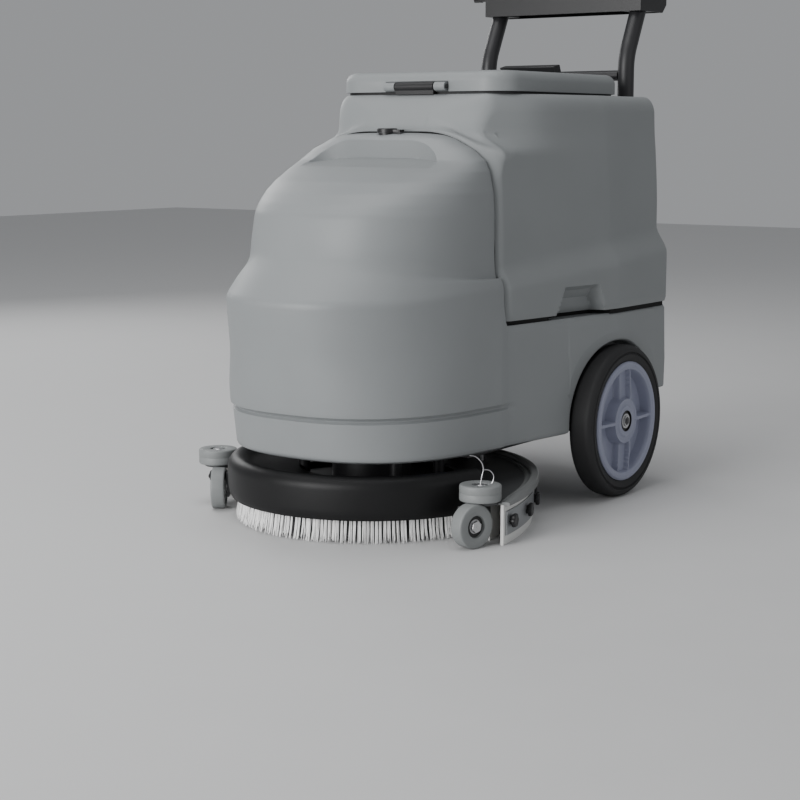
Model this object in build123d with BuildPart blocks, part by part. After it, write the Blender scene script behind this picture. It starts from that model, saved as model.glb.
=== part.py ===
from build123d import *
import math
import os

os.makedirs("parts", exist_ok=True)

# Walk-behind wet and dry floor scrubber. Millimetres, +Z up, the nose of the machine towards -Y,
# the operator's handle towards +Y. The origin is on the floor, under the middle of the machine.

# ---- driving dimensions ----
brush_y = -233.0            # the disc brush turns about this vertical line
brush_r = 214.0             # tips of the bristles
bristle_top = 34.0
hood_r = 225.0
hood_low, hood_high = 36.0, 100.0

wheel_r = 125.0             # ten-inch wheels
wheel_y = brush_y + 351.0
wheel_in, wheel_out = 220.0, 263.0
rim_r = 98.0
axle_r = 8.5
well_r = 131.0

wall = 5.0
seam_y = brush_y + 62.0     # front face of the recovery tank
rear_y = brush_y + 520.0
body_low = 120.0
base_top = 303.0
base_half_front, base_half_rear = 213.0, 247.0

tank_low, tank_high = 308.0, 652.0
lid_high = 688.0

plate_low, plate_high = 60.0, 64.0
rim_high = 72.0
squeegee_y = brush_y - 150.0
squeegee_a, squeegee_b = 302.0, 425.0
squeegee_front = brush_y - 66.0
seat_front = brush_y - 85.0

roller_x, roller_y = 252.0, brush_y - 76.0
roller_r, roller_low, roller_high = 30.8, 65.0, 89.0
# where each small wheel stands, and how many degrees it toes outwards: the left one is tucked in
caster_spots = {1: (255.5, brush_y - 104.0, 14.0), -1: (-222.6, brush_y - 108.2, 35.5)}
caster_r, caster_w = 32.5, 22.0

tube_r = 14.0
upright_x, upright_y = 140.0, brush_y + 551.0
console_half = 158.0
pivot_y, pivot_z = brush_y + 612.0, 850.0
bar_x, bar_y, bar_z, bar_r = 180.0, brush_y + 692.0, 905.0, 13.0
eye_half = 15.0             # half the width of the bar's eyes


def save(part, name, color=None):
    """Label one finished sub-part and write its STEP file."""
    part.part.label = name
    if color:
        part.part.color = Color(*color)
    export_step(part.part, f"parts/{name}.step")


def nose_points(half, nose, inset, power=2.5, count=15):
    """Points of half a superellipse from +X round the nose to -X, meeting the seam line square on."""
    depth = seam_y - nose - inset
    points = []
    for i in range(count):
        t = math.pi * i / (count - 1)
        c, s = math.cos(t), math.sin(t)
        x = (half - inset) * math.copysign(abs(c) ** (2 / power), c)
        points.append((x, seam_y - depth * abs(s) ** (2 / power)))
    return points


def nose_section(z, half, nose, inset=0.0):
    """A face at height z: the rounded nose closed by a straight line at the seam."""
    points = nose_points(half, nose, inset)
    with BuildSketch(Plane.XY.offset(z)) as section:
        with BuildLine():
            Spline(*points, tangents=[(0, -1), (0, 1)])
            Line(points[-1], points[0])
        make_face()
    return section.sketch


def hull_section(z, nose, inset=0.0):
    """A face at height z of the whole base: the nose, sides that widen, and the square tail."""
    points = nose_points(base_half_front, nose, inset)
    tail = [
        (-base_half_rear + inset, wheel_y),
        (-base_half_rear + inset, rear_y - 25),
        (-base_half_rear + inset + 25, rear_y - inset),
        (base_half_rear - inset - 25, rear_y - inset),
        (base_half_rear - inset, rear_y - 25),
        (base_half_rear - inset, wheel_y),
    ]
    with BuildSketch(Plane.XY.offset(z)) as section:
        with BuildLine():
            Spline(*points, tangents=[(0, -1), (0, 1)])
            Polyline(points[-1], *tail, points[0])
        make_face()
    return section.sketch


# ---- body shell: the front water tank and the low base, one moulding ----
skirt_nose, wall_nose, flare_nose = brush_y - 205, brush_y - 221, brush_y - 243
waist_nose = brush_y - 181
tank_floor = 296.0
dome_top = 584.0
dome = [
    (473.0, 188.0, brush_y - 161),
    (504.0, 185.0, brush_y - 127),
    (535.0, 178.0, brush_y - 56),
    (551.0, 171.0, brush_y - 10),
    (566.0, 152.0, brush_y + 10),
    (dome_top, 122.0, brush_y + 22),
]
neck_x, neck_y, neck_r = 0.0, brush_y + 43, 14.0

with BuildPart() as body_shell:
    loft([hull_section(body_low, skirt_nose), hull_section(178, skirt_nose)])
    loft([hull_section(178, skirt_nose), hull_section(187, wall_nose)])
    loft([hull_section(187, wall_nose), hull_section(base_top, brush_y - 236)])
    loft([nose_section(base_top, base_half_front, brush_y - 236), nose_section(355, 206, flare_nose)])
    loft([nose_section(355, 206, flare_nose), nose_section(411, 190, waist_nose)])
    loft([nose_section(411, 190, waist_nose), nose_section(*dome[0])])
    loft([nose_section(*row) for row in dome], ruled=True)
    # the low room under the tank floor, open below, for the motor and the batteries
    with BuildSketch(Plane.XY.offset(body_low - 1)):
        with BuildLine():
            low_points = nose_points(base_half_front, skirt_nose, wall)
            Spline(*low_points, tangents=[(0, -1), (0, 1)])
            Polyline(
                low_points[-1],
                (-base_half_rear + wall, wheel_y),
                (-base_half_rear + wall, rear_y - wall),
                (base_half_rear - wall, rear_y - wall),
                (base_half_rear - wall, wheel_y),
                low_points[0],
            )
        make_face()
    extrude(amount=tank_floor - body_low + 1, mode=Mode.SUBTRACT)
    # the water room above the floor
    loft(
        [nose_section(tank_floor + 6, 212, brush_y - 235, 6), nose_section(355, 206, flare_nose, 6)],
        mode=Mode.SUBTRACT,
    )
    loft(
        [nose_section(355, 206, flare_nose, 6), nose_section(411, 190, waist_nose, 6)],
        mode=Mode.SUBTRACT,
    )
    loft(
        [nose_section(411, 190, waist_nose, 6), nose_section(*dome[0], 6)],
        mode=Mode.SUBTRACT,
    )
    loft(
        [nose_section(*dome[0], 6), nose_section(535, 176, brush_y - 50, 6)],
        mode=Mode.SUBTRACT,
    )
    # back wall of the water room, which the rooms above were cut up to
    with BuildSketch(Plane.XZ.offset(-seam_y)):
        with BuildLine():
            Polyline(
                (-210, base_top - 6), (-203, 355), (-187, 411), (-182, 504), (-168, 551), (-118, dome_top),
                (118, dome_top), (168, 551), (182, 504), (187, 411), (203, 355), (210, base_top - 6),
                close=True,
            )
        make_face()
    extrude(amount=6)
    # the scooped pocket in the top of the nose
    with BuildSketch(Plane.XY.offset(547)):
        with Locations((0, brush_y - 55)):
            Rectangle(250, 150)
        fillet(vertices().group_by(Axis.Y)[-1], 30)
    extrude(amount=60, mode=Mode.SUBTRACT)
    # opening over the batteries, under the recovery tank
    with BuildSketch(Plane.XY.offset(tank_floor - 2)):
        with Locations((0, brush_y + 290)):
            Rectangle(360, 400)
    extrude(amount=12, mode=Mode.SUBTRACT)
    # wheel wells with their own liners
    for side in (-1, 1):
        with BuildSketch(Plane.YZ.offset(side * 205)):
            with Locations((wheel_y, wheel_r)):
                Circle(well_r + 4)
        extrude(amount=side * 39)
    with BuildSketch(Plane.XY.offset(wheel_r - 160)):
        with Locations((0, wheel_y)):
            Rectangle(600, 330)
    extrude(amount=body_low - wheel_r + 160, mode=Mode.SUBTRACT)
    for side in (-1, 1):
        with BuildSketch(Plane.YZ.offset(side * 209)):
            with Locations((wheel_y, wheel_r)):
                Circle(well_r)
        extrude(amount=side * 60, mode=Mode.SUBTRACT)
    with BuildSketch(Plane.XY.offset(body_low - 1)):
        with Locations((0, rear_y)):
            Rectangle(600, 62)
    extrude(amount=39, mode=Mode.SUBTRACT)
    # slots in the liners for the stub axles
    for side in (-1, 1):
        with BuildSketch(Plane.YZ.offset(side * 200)):
            with Locations((wheel_y, wheel_r)):
                Circle(14.5)
            with Locations((wheel_y, wheel_r - 20)):
                Rectangle(29, 40)
        extrude(amount=side * 12, mode=Mode.SUBTRACT)
    # filler hole
    with BuildSketch(Plane.XY.offset(dome_top - 70)):
        with Locations((neck_x, neck_y)):
            Circle(neck_r)
    extrude(amount=90, mode=Mode.SUBTRACT)
save(body_shell, "body_shell", (0.55, 0.58, 0.59))

with BuildPart() as filler_neck:
    with BuildSketch(Plane.XY.offset(dome_top - 20)):
        with Locations((neck_x, neck_y)):
            Circle(neck_r)
            Circle(neck_r - 2, mode=Mode.SUBTRACT)
    extrude(amount=28)
    # lug beside the mouth for the cap's hinge
    with BuildSketch(Plane.XY.offset(dome_top)):
        with Locations((neck_x + neck_r + 12, neck_y)):
            Rectangle(8, 16)
    extrude(amount=7.9)
save(filler_neck, "filler_neck", (0.1, 0.1, 0.1))

with BuildPart() as filler_cap:
    with BuildSketch(Plane.XY.offset(dome_top + 8.3)):
        with Locations((neck_x, neck_y)):
            Circle(neck_r + 2)
    extrude(amount=7)
    fillet(filler_cap.edges().group_by(Axis.Z)[-1], 2)
    with BuildSketch(Plane.XY.offset(dome_top + 8.3)):
        with Locations((neck_x + neck_r + 6, neck_y)):
            Rectangle(16, 12)
    extrude(amount=5)
save(filler_cap, "filler_cap", (0.1, 0.1, 0.1))

# ---- chassis: rails, cross plates, battery tray ----
rail_low, rail_high = 100.0, 112.0
suction_x, suction_y, suction_r = 0.0, brush_y + 246, 16.0
post_x, post_y, post_r = 78.0, brush_y + 196, 6.0

with BuildPart() as chassis_frame:
    with BuildSketch(Plane.XY.offset(rail_low)):
        with Locations((-148, brush_y + 305), (148, brush_y + 305)):
            Rectangle(24, 520)
        with Locations((0, brush_y + 52), (0, brush_y + 551)):
            Rectangle(320, 34)
        with Locations((0, brush_y + 205)):
            Rectangle(320, 110)
        with Locations((0, brush_y)):
            Rectangle(200, 140)
        with Locations((suction_x, suction_y)):
            Circle(suction_r + 9, mode=Mode.SUBTRACT)
        with Locations((post_x, post_y), (-post_x, post_y)):
            Circle(post_r + 0.15, mode=Mode.SUBTRACT)
        with Locations((0, brush_y)):
            Circle(42, mode=Mode.SUBTRACT)
    extrude(amount=rail_high - rail_low)
    # tray for the batteries
    with BuildSketch(Plane.XY.offset(rail_high)):
        with Locations((0, brush_y + 345)):
            Rectangle(378, 250)
        with Locations((-190, wheel_y), (190, wheel_y)):
            Rectangle(22, 70)
        with Locations((suction_x, suction_y)):
            Circle(suction_r + 9, mode=Mode.SUBTRACT)
    extrude(amount=3)
    # ears that carry the stub axles
    with BuildSketch(Plane.XY.offset(rail_low)):
        with Locations((-196, wheel_y), (196, wheel_y)):
            Rectangle(10, 70)
    extrude(amount=58)
    with BuildSketch(Plane.YZ.offset(-202)):
        with Locations((wheel_y, wheel_r)):
            Circle(axle_r)
    extrude(amount=404, mode=Mode.SUBTRACT)
    # sockets that hold the handle's uprights
    with BuildSketch(Plane.XY.offset(rail_low)):
        with Locations((-upright_x, upright_y), (upright_x, upright_y)):
            Circle(tube_r + 4)
    extrude(amount=70)
    with BuildSketch(Plane.XY.offset(rail_high)):
        with Locations((-upright_x, upright_y), (upright_x, upright_y)):
            Circle(tube_r)
    extrude(amount=70, mode=Mode.SUBTRACT)
save(chassis_frame, "chassis_frame", (0.15, 0.15, 0.16))

with BuildPart() as stub_axles:
    for side in (-1, 1):
        with BuildSketch(Plane.YZ.offset(side * 184)):
            with Locations((wheel_y, wheel_r)):
                Circle(axle_r)
        extrude(amount=side * 78)
        with BuildSketch(Plane.YZ.offset(side * 202)):
            with Locations((wheel_y, wheel_r)):
                Circle(13)
        extrude(amount=side * 18)
save(stub_axles, "stub_axles", (0.6, 0.6, 0.62))

battery_x, battery_y = 108.0, brush_y + 345
with BuildPart() as batteries:
    with BuildSketch(Plane.XY.offset(rail_high + 3)):
        with Locations((-battery_x, battery_y), (battery_x, battery_y)):
            Rectangle(140, 240)
    extrude(amount=165)
    with BuildSketch(Plane.XY.offset(rail_high + 168)):
        for x in (-battery_x - 40, -battery_x + 40, battery_x - 40, battery_x + 40):
            with Locations((x, battery_y + 90)):
                Circle(8)
    extrude(amount=9)
save(batteries, "batteries", (0.12, 0.12, 0.13))

with BuildPart() as vacuum_motor:
    with BuildSketch(Plane.XY.offset(rail_high)):
        with Locations((118, brush_y + 112)):
            Circle(58)
    extrude(amount=60)
    with BuildSketch(Plane.XY.offset(rail_high + 60)):
        with Locations((118, brush_y + 112)):
            Circle(46)
    extrude(amount=88)
save(vacuum_motor, "vacuum_motor", (0.1, 0.1, 0.1))

with BuildPart() as controller:
    with BuildSketch(Plane.XY.offset(rail_high)):
        with Locations((-118, brush_y + 105)):
            Rectangle(120, 90)
    extrude(amount=55)
    with BuildSketch(Plane.XY.offset(rail_high + 55)):
        for i in range(9):
            with Locations((-168 + 12.5 * i, brush_y + 105)):
                Rectangle(3, 88)
    extrude(amount=14)
save(controller, "controller", (0.65, 0.66, 0.68))

with BuildPart() as water_valve:
    with BuildSketch(Plane.XY.offset(rail_high)):
        with Locations((128, brush_y - 30)):
            Rectangle(42, 34)
    extrude(amount=46)
    with BuildSketch(Plane.YZ.offset(88)):
        with Locations((brush_y - 30, rail_high + 16)):
            Circle(8)
    extrude(amount=20)
save(water_valve, "water_valve", (0.2, 0.3, 0.5))

with BuildPart() as water_filter:
    with BuildSketch(Plane.XY.offset(rail_high)):
        with Locations((-128, brush_y - 30)):
            Circle(24)
    extrude(amount=64)
    fillet(water_filter.edges().group_by(Axis.Z)[0], 8)
save(water_filter, "water_filter", (0.7, 0.72, 0.75))

# ---- brush deck: plate, black front hood, gear motor, disc brush ----
deck_low, deck_high = 50.0, 55.0
plate_r = 217.0
with BuildPart() as deck_plate:
    with BuildSketch(Plane.XY.offset(deck_low)):
        with Locations((0, brush_y)):
            Circle(plate_r)
            Circle(34, mode=Mode.SUBTRACT)
    extrude(amount=deck_high - deck_low)
    with BuildSketch(Plane.XY.offset(deck_high)):
        for x, y in ((-88, -58), (88, -58), (-88, 58), (88, 58)):
            with Locations((x, brush_y + y)):
                Circle(9)
    extrude(amount=rail_low - deck_high)
save(deck_plate, "deck_plate", (0.08, 0.08, 0.08))

with BuildPart() as deck_hood:
    with BuildSketch(Plane.XZ.offset(-brush_y)):
        with BuildLine():
            Line((219.5, hood_low), (hood_r, 52))
            Line((hood_r, 52), (hood_r, 82))
            RadiusArc((hood_r, 82), (207, hood_high), -18)
            Polyline((207, hood_high), (203, hood_high), (186, 84), (120, 78), (120, 74), (188, 80))
            Polyline((188, 80), (205, 96), (207, 96))
            RadiusArc((207, 96), (221, 82), 14)
            Polyline((221, 82), (221, 58), (plate_r, 56), (plate_r, hood_low), (219.5, hood_low))
        make_face()
    revolve(axis=Axis((0, brush_y, 0), (0, 0, 1)), revolution_arc=360)
    with BuildSketch(Plane.XY.offset(hood_low - 1)):
        with Locations((0, brush_y - 22 + 150)):
            Rectangle(500, 300)
    extrude(amount=100, mode=Mode.SUBTRACT)
save(deck_hood, "deck_hood", (0.05, 0.05, 0.05))

with BuildPart() as brush_motor:
    with BuildSketch(Plane.XY.offset(deck_high)):
        with Locations((0, brush_y)):
            Circle(62)
    extrude(amount=40)
    with BuildSketch(Plane.XY.offset(deck_high + 40)):
        with Locations((0, brush_y)):
            Circle(41)
    extrude(amount=17.5)
    with BuildSketch(Plane.XY.offset(deck_high + 57.5)):
        with Locations((0, brush_y)):
            Circle(66)
    extrude(amount=150)
    fillet(brush_motor.edges().group_by(Axis.Z)[-1], 10)
save(brush_motor, "brush_motor", (0.25, 0.26, 0.28))

with BuildPart() as drive_shaft:
    with BuildSketch(Plane.XY.offset(36)):
        with Locations((0, brush_y)):
            RegularPolygon(16, 6)
    extrude(amount=18.7)
save(drive_shaft, "drive_shaft", (0.6, 0.6, 0.62))

with BuildPart() as brush_block:
    with BuildSketch(Plane.XY.offset(bristle_top)):
        with Locations((0, brush_y)):
            Circle(206)
            RegularPolygon(16.0, 6, mode=Mode.SUBTRACT)
    extrude(amount=12)
    fillet(brush_block.edges().filter_by(GeomType.CIRCLE).group_by(Axis.Z)[-1], 3)
save(brush_block, "brush_block", (0.12, 0.12, 0.14))

with BuildPart() as bristles:
    with BuildSketch():
        with Locations((0, brush_y)):
            Circle(brush_r)
            Circle(110, mode=Mode.SUBTRACT)
    with BuildSketch(Plane.XY.offset(bristle_top)):
        with Locations((0, brush_y)):
            Circle(204)
            Circle(118, mode=Mode.SUBTRACT)
    loft()
save(bristles, "bristles", (0.9, 0.9, 0.9))

# ---- rear wheels ----
groove_r = 3.0


def tyre(side):
    """Solid rubber tyre: rounded shoulders and a groove in the outer wall."""
    width = wheel_out - wheel_in
    with BuildPart() as ring:
        with BuildSketch(Plane.XZ.offset(-wheel_y)):
            with Locations((side * (wheel_in + width / 2), wheel_r + (rim_r + wheel_r) / 2)):
                RectangleRounded(width, wheel_r - rim_r, 9)
            with Locations((side * wheel_out, wheel_r + rim_r + 12)):
                Circle(groove_r, mode=Mode.SUBTRACT)
        revolve(axis=Axis((0, wheel_y, wheel_r), (1, 0, 0)))
    return ring


def hub(side):
    """Moulded hub: rim, web set back, four raised spokes and a boss bored for the bearing."""
    outer = side * (wheel_out - 2)
    with BuildPart() as disc:
        with BuildSketch(Plane.YZ.offset(side * (wheel_in + 3))):
            with Locations((wheel_y, wheel_r)):
                Circle(rim_r)
        extrude(amount=side * (wheel_out - wheel_in - 5))
        with BuildSketch(Plane.YZ.offset(outer)):
            with Locations((wheel_y, wheel_r)):
                Circle(86)
                Rectangle(34, 200, mode=Mode.SUBTRACT)
                Rectangle(200, 34, mode=Mode.SUBTRACT)
                Circle(38, mode=Mode.SUBTRACT)
        extrude(amount=-side * 22, mode=Mode.SUBTRACT)
        with BuildSketch(Plane.YZ.offset(side * (wheel_in + 3))):
            with Locations((wheel_y, wheel_r)):
                Circle(86)
                Circle(38, mode=Mode.SUBTRACT)
        extrude(amount=side * 10, mode=Mode.SUBTRACT)
        with BuildSketch(Plane.YZ.offset(side * (wheel_in - 2))):
            with Locations((wheel_y, wheel_r)):
                Circle(17.5)
        extrude(amount=side * 60, mode=Mode.SUBTRACT)
    return disc


def bearing(side):
    """Ball bearing pressed into the hub, turning on the stub axle."""
    with BuildPart() as ring:
        with BuildSketch(Plane.YZ.offset(side * (wheel_out - 16))):
            with Locations((wheel_y, wheel_r)):
                Circle(17.5)
                Circle(axle_r + 0.05, mode=Mode.SUBTRACT)
        extrude(amount=side * 12)
    return ring


for side, hand in ((-1, "left"), (1, "right")):
    save(tyre(side), f"tyre_{hand}", (0.06, 0.06, 0.06))
    save(hub(side), f"hub_{hand}", (0.5, 0.52, 0.58))
    save(bearing(side), f"bearing_{hand}", (0.7, 0.7, 0.72))

with BuildPart() as axle_nuts:
    for side in (-1, 1):
        with BuildSketch(Plane.YZ.offset(side * (wheel_out - 3.7))):
            with Locations((wheel_y, wheel_r)):
                RegularPolygon(12, 6)
                Circle(axle_r, mode=Mode.SUBTRACT)
        extrude(amount=side * 6)
save(axle_nuts, "axle_nuts", (0.7, 0.7, 0.72))


# ---- squeegee: plate, blades, clamp strip, knobs, spigot ----
def squeegee_ring(z, height, inset, width, front):
    """Part of an elliptical ring that wraps the rear of the brush, between two offsets of the outline."""
    with BuildPart() as ring:
        with BuildSketch(Plane.XY.offset(z)):
            with Locations((0, squeegee_y)):
                Ellipse(squeegee_a - inset, squeegee_b - inset)
                Ellipse(squeegee_a - inset - width, squeegee_b - inset - width, mode=Mode.SUBTRACT)
            with Locations((0, front - 300)):
                Rectangle(700, 600, mode=Mode.SUBTRACT)
        extrude(amount=height)
    return ring


with BuildPart() as squeegee_plate:
    with BuildSketch(Plane.XY.offset(plate_low)):
        with Locations((0, squeegee_y)):
            Ellipse(squeegee_a, squeegee_b)
        for side in (-1, 1):
            with Locations((side * 381, squeegee_front - 300)):
                Rectangle(200, 600, mode=Mode.SUBTRACT)
        with Locations((0, brush_y)):
            Circle(140, mode=Mode.SUBTRACT)
        with Locations((0, brush_y - 18 - 150)):
            Rectangle(463, 300, mode=Mode.SUBTRACT)
        with Locations((0, seat_front - 450)):
            Rectangle(562, 900, mode=Mode.SUBTRACT)
        with Locations((suction_x, suction_y)):
            Circle(suction_r - 5, mode=Mode.SUBTRACT)
    extrude(amount=plate_high - plate_low)
    with BuildSketch(Plane.XY.offset(plate_high)):
        with Locations((0, squeegee_y)):
            Ellipse(squeegee_a, squeegee_b)
            Ellipse(squeegee_a - 12, squeegee_b - 12, mode=Mode.SUBTRACT)
        with Locations((0, squeegee_front - 300)):
            Rectangle(700, 600, mode=Mode.SUBTRACT)
    extrude(amount=rim_high - plate_high)
save(squeegee_plate, "squeegee_plate", (0.3, 0.31, 0.32))

save(squeegee_ring(0, plate_low, 10, 3, squeegee_front), "rear_blade", (0.9, 0.9, 0.88))
save(squeegee_ring(0, plate_low, 40, 3, brush_y - 44), "front_blade", (0.9, 0.9, 0.88))
save(squeegee_ring(14, 40, 7, 3, squeegee_front), "clamp_strip", (0.55, 0.57, 0.58))

knob_spots = []
for angle in (14.7, 26, 38, 51, 65, 79, 101, 115, 129, 142, 154, 165.3):
    t = math.radians(angle)
    a, b = squeegee_a - 7, squeegee_b - 7
    knob_spots.append((a * math.cos(t), squeegee_y + b * math.sin(t), math.cos(t) / a, math.sin(t) / b))

with BuildPart() as clamp_knobs:
    for x, y, nx, ny in knob_spots:
        with BuildSketch(Plane(origin=(x, y, 34), x_dir=(-ny, nx, 0), z_dir=(nx, ny, 0))):
            RegularPolygon(9.5, 8)
        extrude(amount=9)
save(clamp_knobs, "clamp_knobs", (0.05, 0.05, 0.05))

with BuildPart() as suction_spigot:
    with BuildSketch(Plane.XY.offset(plate_high)):
        with Locations((suction_x, suction_y)):
            Circle(suction_r)
            Circle(suction_r - 3, mode=Mode.SUBTRACT)
    extrude(amount=17)
save(suction_spigot, "suction_spigot", (0.08, 0.08, 0.08))

hose_low, hose_high = plate_high + 17, rail_high + 22
with BuildPart() as suction_hose:
    with BuildSketch(Plane.XY.offset(hose_low)):
        with Locations((suction_x, suction_y)):
            Circle(suction_r + 3)
            Circle(suction_r, mode=Mode.SUBTRACT)
    extrude(amount=hose_high - hose_low)
save(suction_hose, "suction_hose", (0.1, 0.1, 0.1))

with BuildPart() as suction_pipe:
    with BuildSketch(Plane.XY.offset(hose_high)):
        with Locations((suction_x, suction_y)):
            Circle(suction_r + 3)
            Circle(suction_r, mode=Mode.SUBTRACT)
    extrude(amount=tank_low - 4 - hose_high)
    with BuildSketch(Plane.XY.offset(tank_low - 10)):
        with Locations((suction_x, suction_y)):
            Circle(suction_r + 10)
            Circle(suction_r, mode=Mode.SUBTRACT)
    extrude(amount=6)
save(suction_pipe, "suction_pipe", (0.1, 0.1, 0.1))


# ---- bumper rollers, small wheels and their brackets ----
def roller(side):
    """Bumper roller on a vertical bolt, with a shallow recess round the bolt head."""
    with BuildPart() as drum:
        with BuildSketch(Plane.XY.offset(roller_low)):
            with Locations((side * roller_x, roller_y)):
                Circle(roller_r)
                Circle(5.1, mode=Mode.SUBTRACT)
        extrude(amount=roller_high - roller_low)
        fillet(drum.edges().filter_by(GeomType.CIRCLE).group_by(SortBy.RADIUS)[-1], 2)
        with BuildSketch(Plane.XY.offset(roller_high)):
            with Locations((side * roller_x, roller_y)):
                Circle(11)
        extrude(amount=-5, mode=Mode.SUBTRACT)
    return drum


def caster_plane(side):
    """Plane through a small wheel's middle, with its normal along the axle, outwards."""
    x, y, toe = caster_spots[side]
    turn = math.radians(toe)
    normal = (side * math.cos(turn), -math.sin(turn), 0)
    return Plane(origin=(x, y, caster_r), x_dir=(0, 0, 1), z_dir=normal)


def small_wheel(side):
    """Small support wheel with a dished hub."""
    with BuildPart() as drum:
        with BuildSketch(caster_plane(side).offset(-caster_w / 2)):
            Circle(caster_r)
            Circle(5.1, mode=Mode.SUBTRACT)
        extrude(amount=caster_w)
        fillet(drum.edges().filter_by(GeomType.CIRCLE).group_by(SortBy.RADIUS)[-1], 3)
        with BuildSketch(caster_plane(side).offset(caster_w / 2)):
            Circle(16)
        extrude(amount=-5, mode=Mode.SUBTRACT)
    return drum


for side, hand in ((-1, "left"), (1, "right")):
    save(roller(side), f"bumper_roller_{hand}", (0.55, 0.57, 0.57))
    save(small_wheel(side), f"support_wheel_{hand}", (0.55, 0.57, 0.57))

with BuildPart() as plate_hardware:
    for side in (-1, 1):
        # post that guides the plate up and down
        with BuildSketch(Plane.XY.offset(plate_high)):
            with Locations((side * post_x, post_y)):
                Circle(post_r)
        extrude(amount=62)
        # bolt of the bumper roller
        with BuildSketch(Plane.XY.offset(plate_high)):
            with Locations((side * roller_x, roller_y)):
                Circle(5)
        extrude(amount=roller_high - 4.5 - plate_high)
        with BuildSketch(Plane.XY.offset(roller_high - 4.5)):
            with Locations((side * roller_x, roller_y)):
                Circle(8)
        extrude(amount=5)
        # bolt of the small wheel
        with BuildSketch(caster_plane(side).offset(-caster_w / 2 - 8)):
            Circle(5)
        extrude(amount=caster_w + 4)
        with BuildSketch(caster_plane(side).offset(caster_w / 2 - 4.5)):
            RegularPolygon(9.5, 6)
        extrude(amount=7)
save(plate_hardware, "plate_hardware", (0.75, 0.75, 0.77))

with BuildPart() as wheel_brackets:
    for side, length, shift in ((-1, 70, 23), (1, 62, 19)):
        with BuildSketch(caster_plane(side).offset(-caster_w / 2 - 6)):
            with Locations((7.5, -side * shift)):
                Rectangle(40, length)
            Circle(5, mode=Mode.SUBTRACT)
        extrude(amount=4)
save(wheel_brackets, "wheel_brackets", (0.3, 0.31, 0.32))


# ---- recovery tank and lid ----
def tank_section(z, front_half, rear_half, inset=0.0, corner=16.0):
    """A face at height z of the recovery tank: a tapered box with rounded upright corners."""
    front, back = seam_y + 0.5 + inset, rear_y - inset
    with BuildSketch(Plane.XY.offset(z)) as section:
        with BuildLine():
            Polyline(
                (-front_half + inset, front), (front_half - inset, front),
                (rear_half - inset, wheel_y), (rear_half - inset, back),
                (-rear_half + inset, back), (-rear_half + inset, wheel_y),
                close=True,
            )
        make_face()
        fillet(section.vertices().group_by(Axis.Y)[0], corner)
        fillet(section.vertices().group_by(Axis.Y)[-1], corner + 6)
    return section.sketch


shoulder = 590.0
slope_z = 598.0
lid_front, lid_deep = brush_y + 122, 384.0
lid_y = lid_front + lid_deep / 2
with BuildPart() as recovery_tank:
    loft([tank_section(tank_low, 214, 246), tank_section(370, 208, 244)])
    loft([tank_section(370, 208, 244), tank_section(412, 192, 226)])
    loft([tank_section(412, 192, 226), tank_section(shoulder, 182, 222)])
    loft([tank_section(shoulder, 182, 222), tank_section(tank_high, 165, 194)])
    loft([tank_section(tank_low + wall, 214, 246, wall), tank_section(370, 208, 244, wall)], mode=Mode.SUBTRACT)
    loft([tank_section(370, 208, 244, wall), tank_section(412, 192, 226, wall)], mode=Mode.SUBTRACT)
    loft([tank_section(412, 192, 226, wall), tank_section(shoulder, 182, 222, wall)], mode=Mode.SUBTRACT)
    loft(
        [tank_section(shoulder, 182, 222, wall), tank_section(tank_high - 5, 167, 196, wall)],
        mode=Mode.SUBTRACT,
    )
    # sloping front of the roof, as a wall and then the cut above it
    with BuildSketch(Plane.YZ.offset(-164)):
        with BuildLine():
            Polyline(
                (seam_y + 3, slope_z - 8), (lid_front - 4, tank_high - 6), (lid_front - 4, tank_high - 1),
                (seam_y + 3, slope_z - 1),
                close=True,
            )
        make_face()
    extrude(amount=328)
    with BuildSketch(Plane.YZ.offset(-250)):
        with BuildLine():
            Polyline(
                (seam_y - 1, slope_z), (lid_front - 4, tank_high), (lid_front - 4, tank_high + 9),
                (seam_y - 1, tank_high + 9),
                close=True,
            )
        make_face()
    extrude(amount=500, mode=Mode.SUBTRACT)
    # mouth under the lid
    with BuildSketch(Plane.XY.offset(tank_high - 8)):
        with Locations((0, lid_y)):
            RectangleRounded(300, lid_deep - 26, 40)
    extrude(amount=10, mode=Mode.SUBTRACT)
    # finger pulls in the lower edge, one each side
    for side in (-1, 1):
        with BuildSketch(Plane.YZ.offset(side * 214)):
            with Locations((brush_y + 254, tank_low + 22)):
                Trapezoid(146, 44, 66)
        extrude(amount=side * 10)
        with BuildSketch(Plane.YZ.offset(side * 218)):
            with Locations((brush_y + 254, tank_low + 20)):
                Trapezoid(138, 40, 66)
        extrude(amount=side * 60, mode=Mode.SUBTRACT)
    # suction inlet and air outlet in the floor
    with BuildSketch(Plane.XY.offset(tank_low - 1)):
        with Locations((suction_x, suction_y), (118, brush_y + 124)):
            Circle(suction_r - 3)
    extrude(amount=8, mode=Mode.SUBTRACT)
save(recovery_tank, "recovery_tank", (0.52, 0.55, 0.56))

intake_x, intake_y, intake_top = 118.0, brush_y + 124, 560.0
with BuildPart() as tank_pipes:
    with BuildSketch(Plane.XY.offset(tank_low + wall)):
        with Locations((suction_x, suction_y), (intake_x, intake_y)):
            Circle(suction_r)
            Circle(suction_r - 3, mode=Mode.SUBTRACT)
    extrude(amount=intake_top - tank_low - wall)
save(tank_pipes, "tank_pipes", (0.1, 0.1, 0.1))

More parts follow.
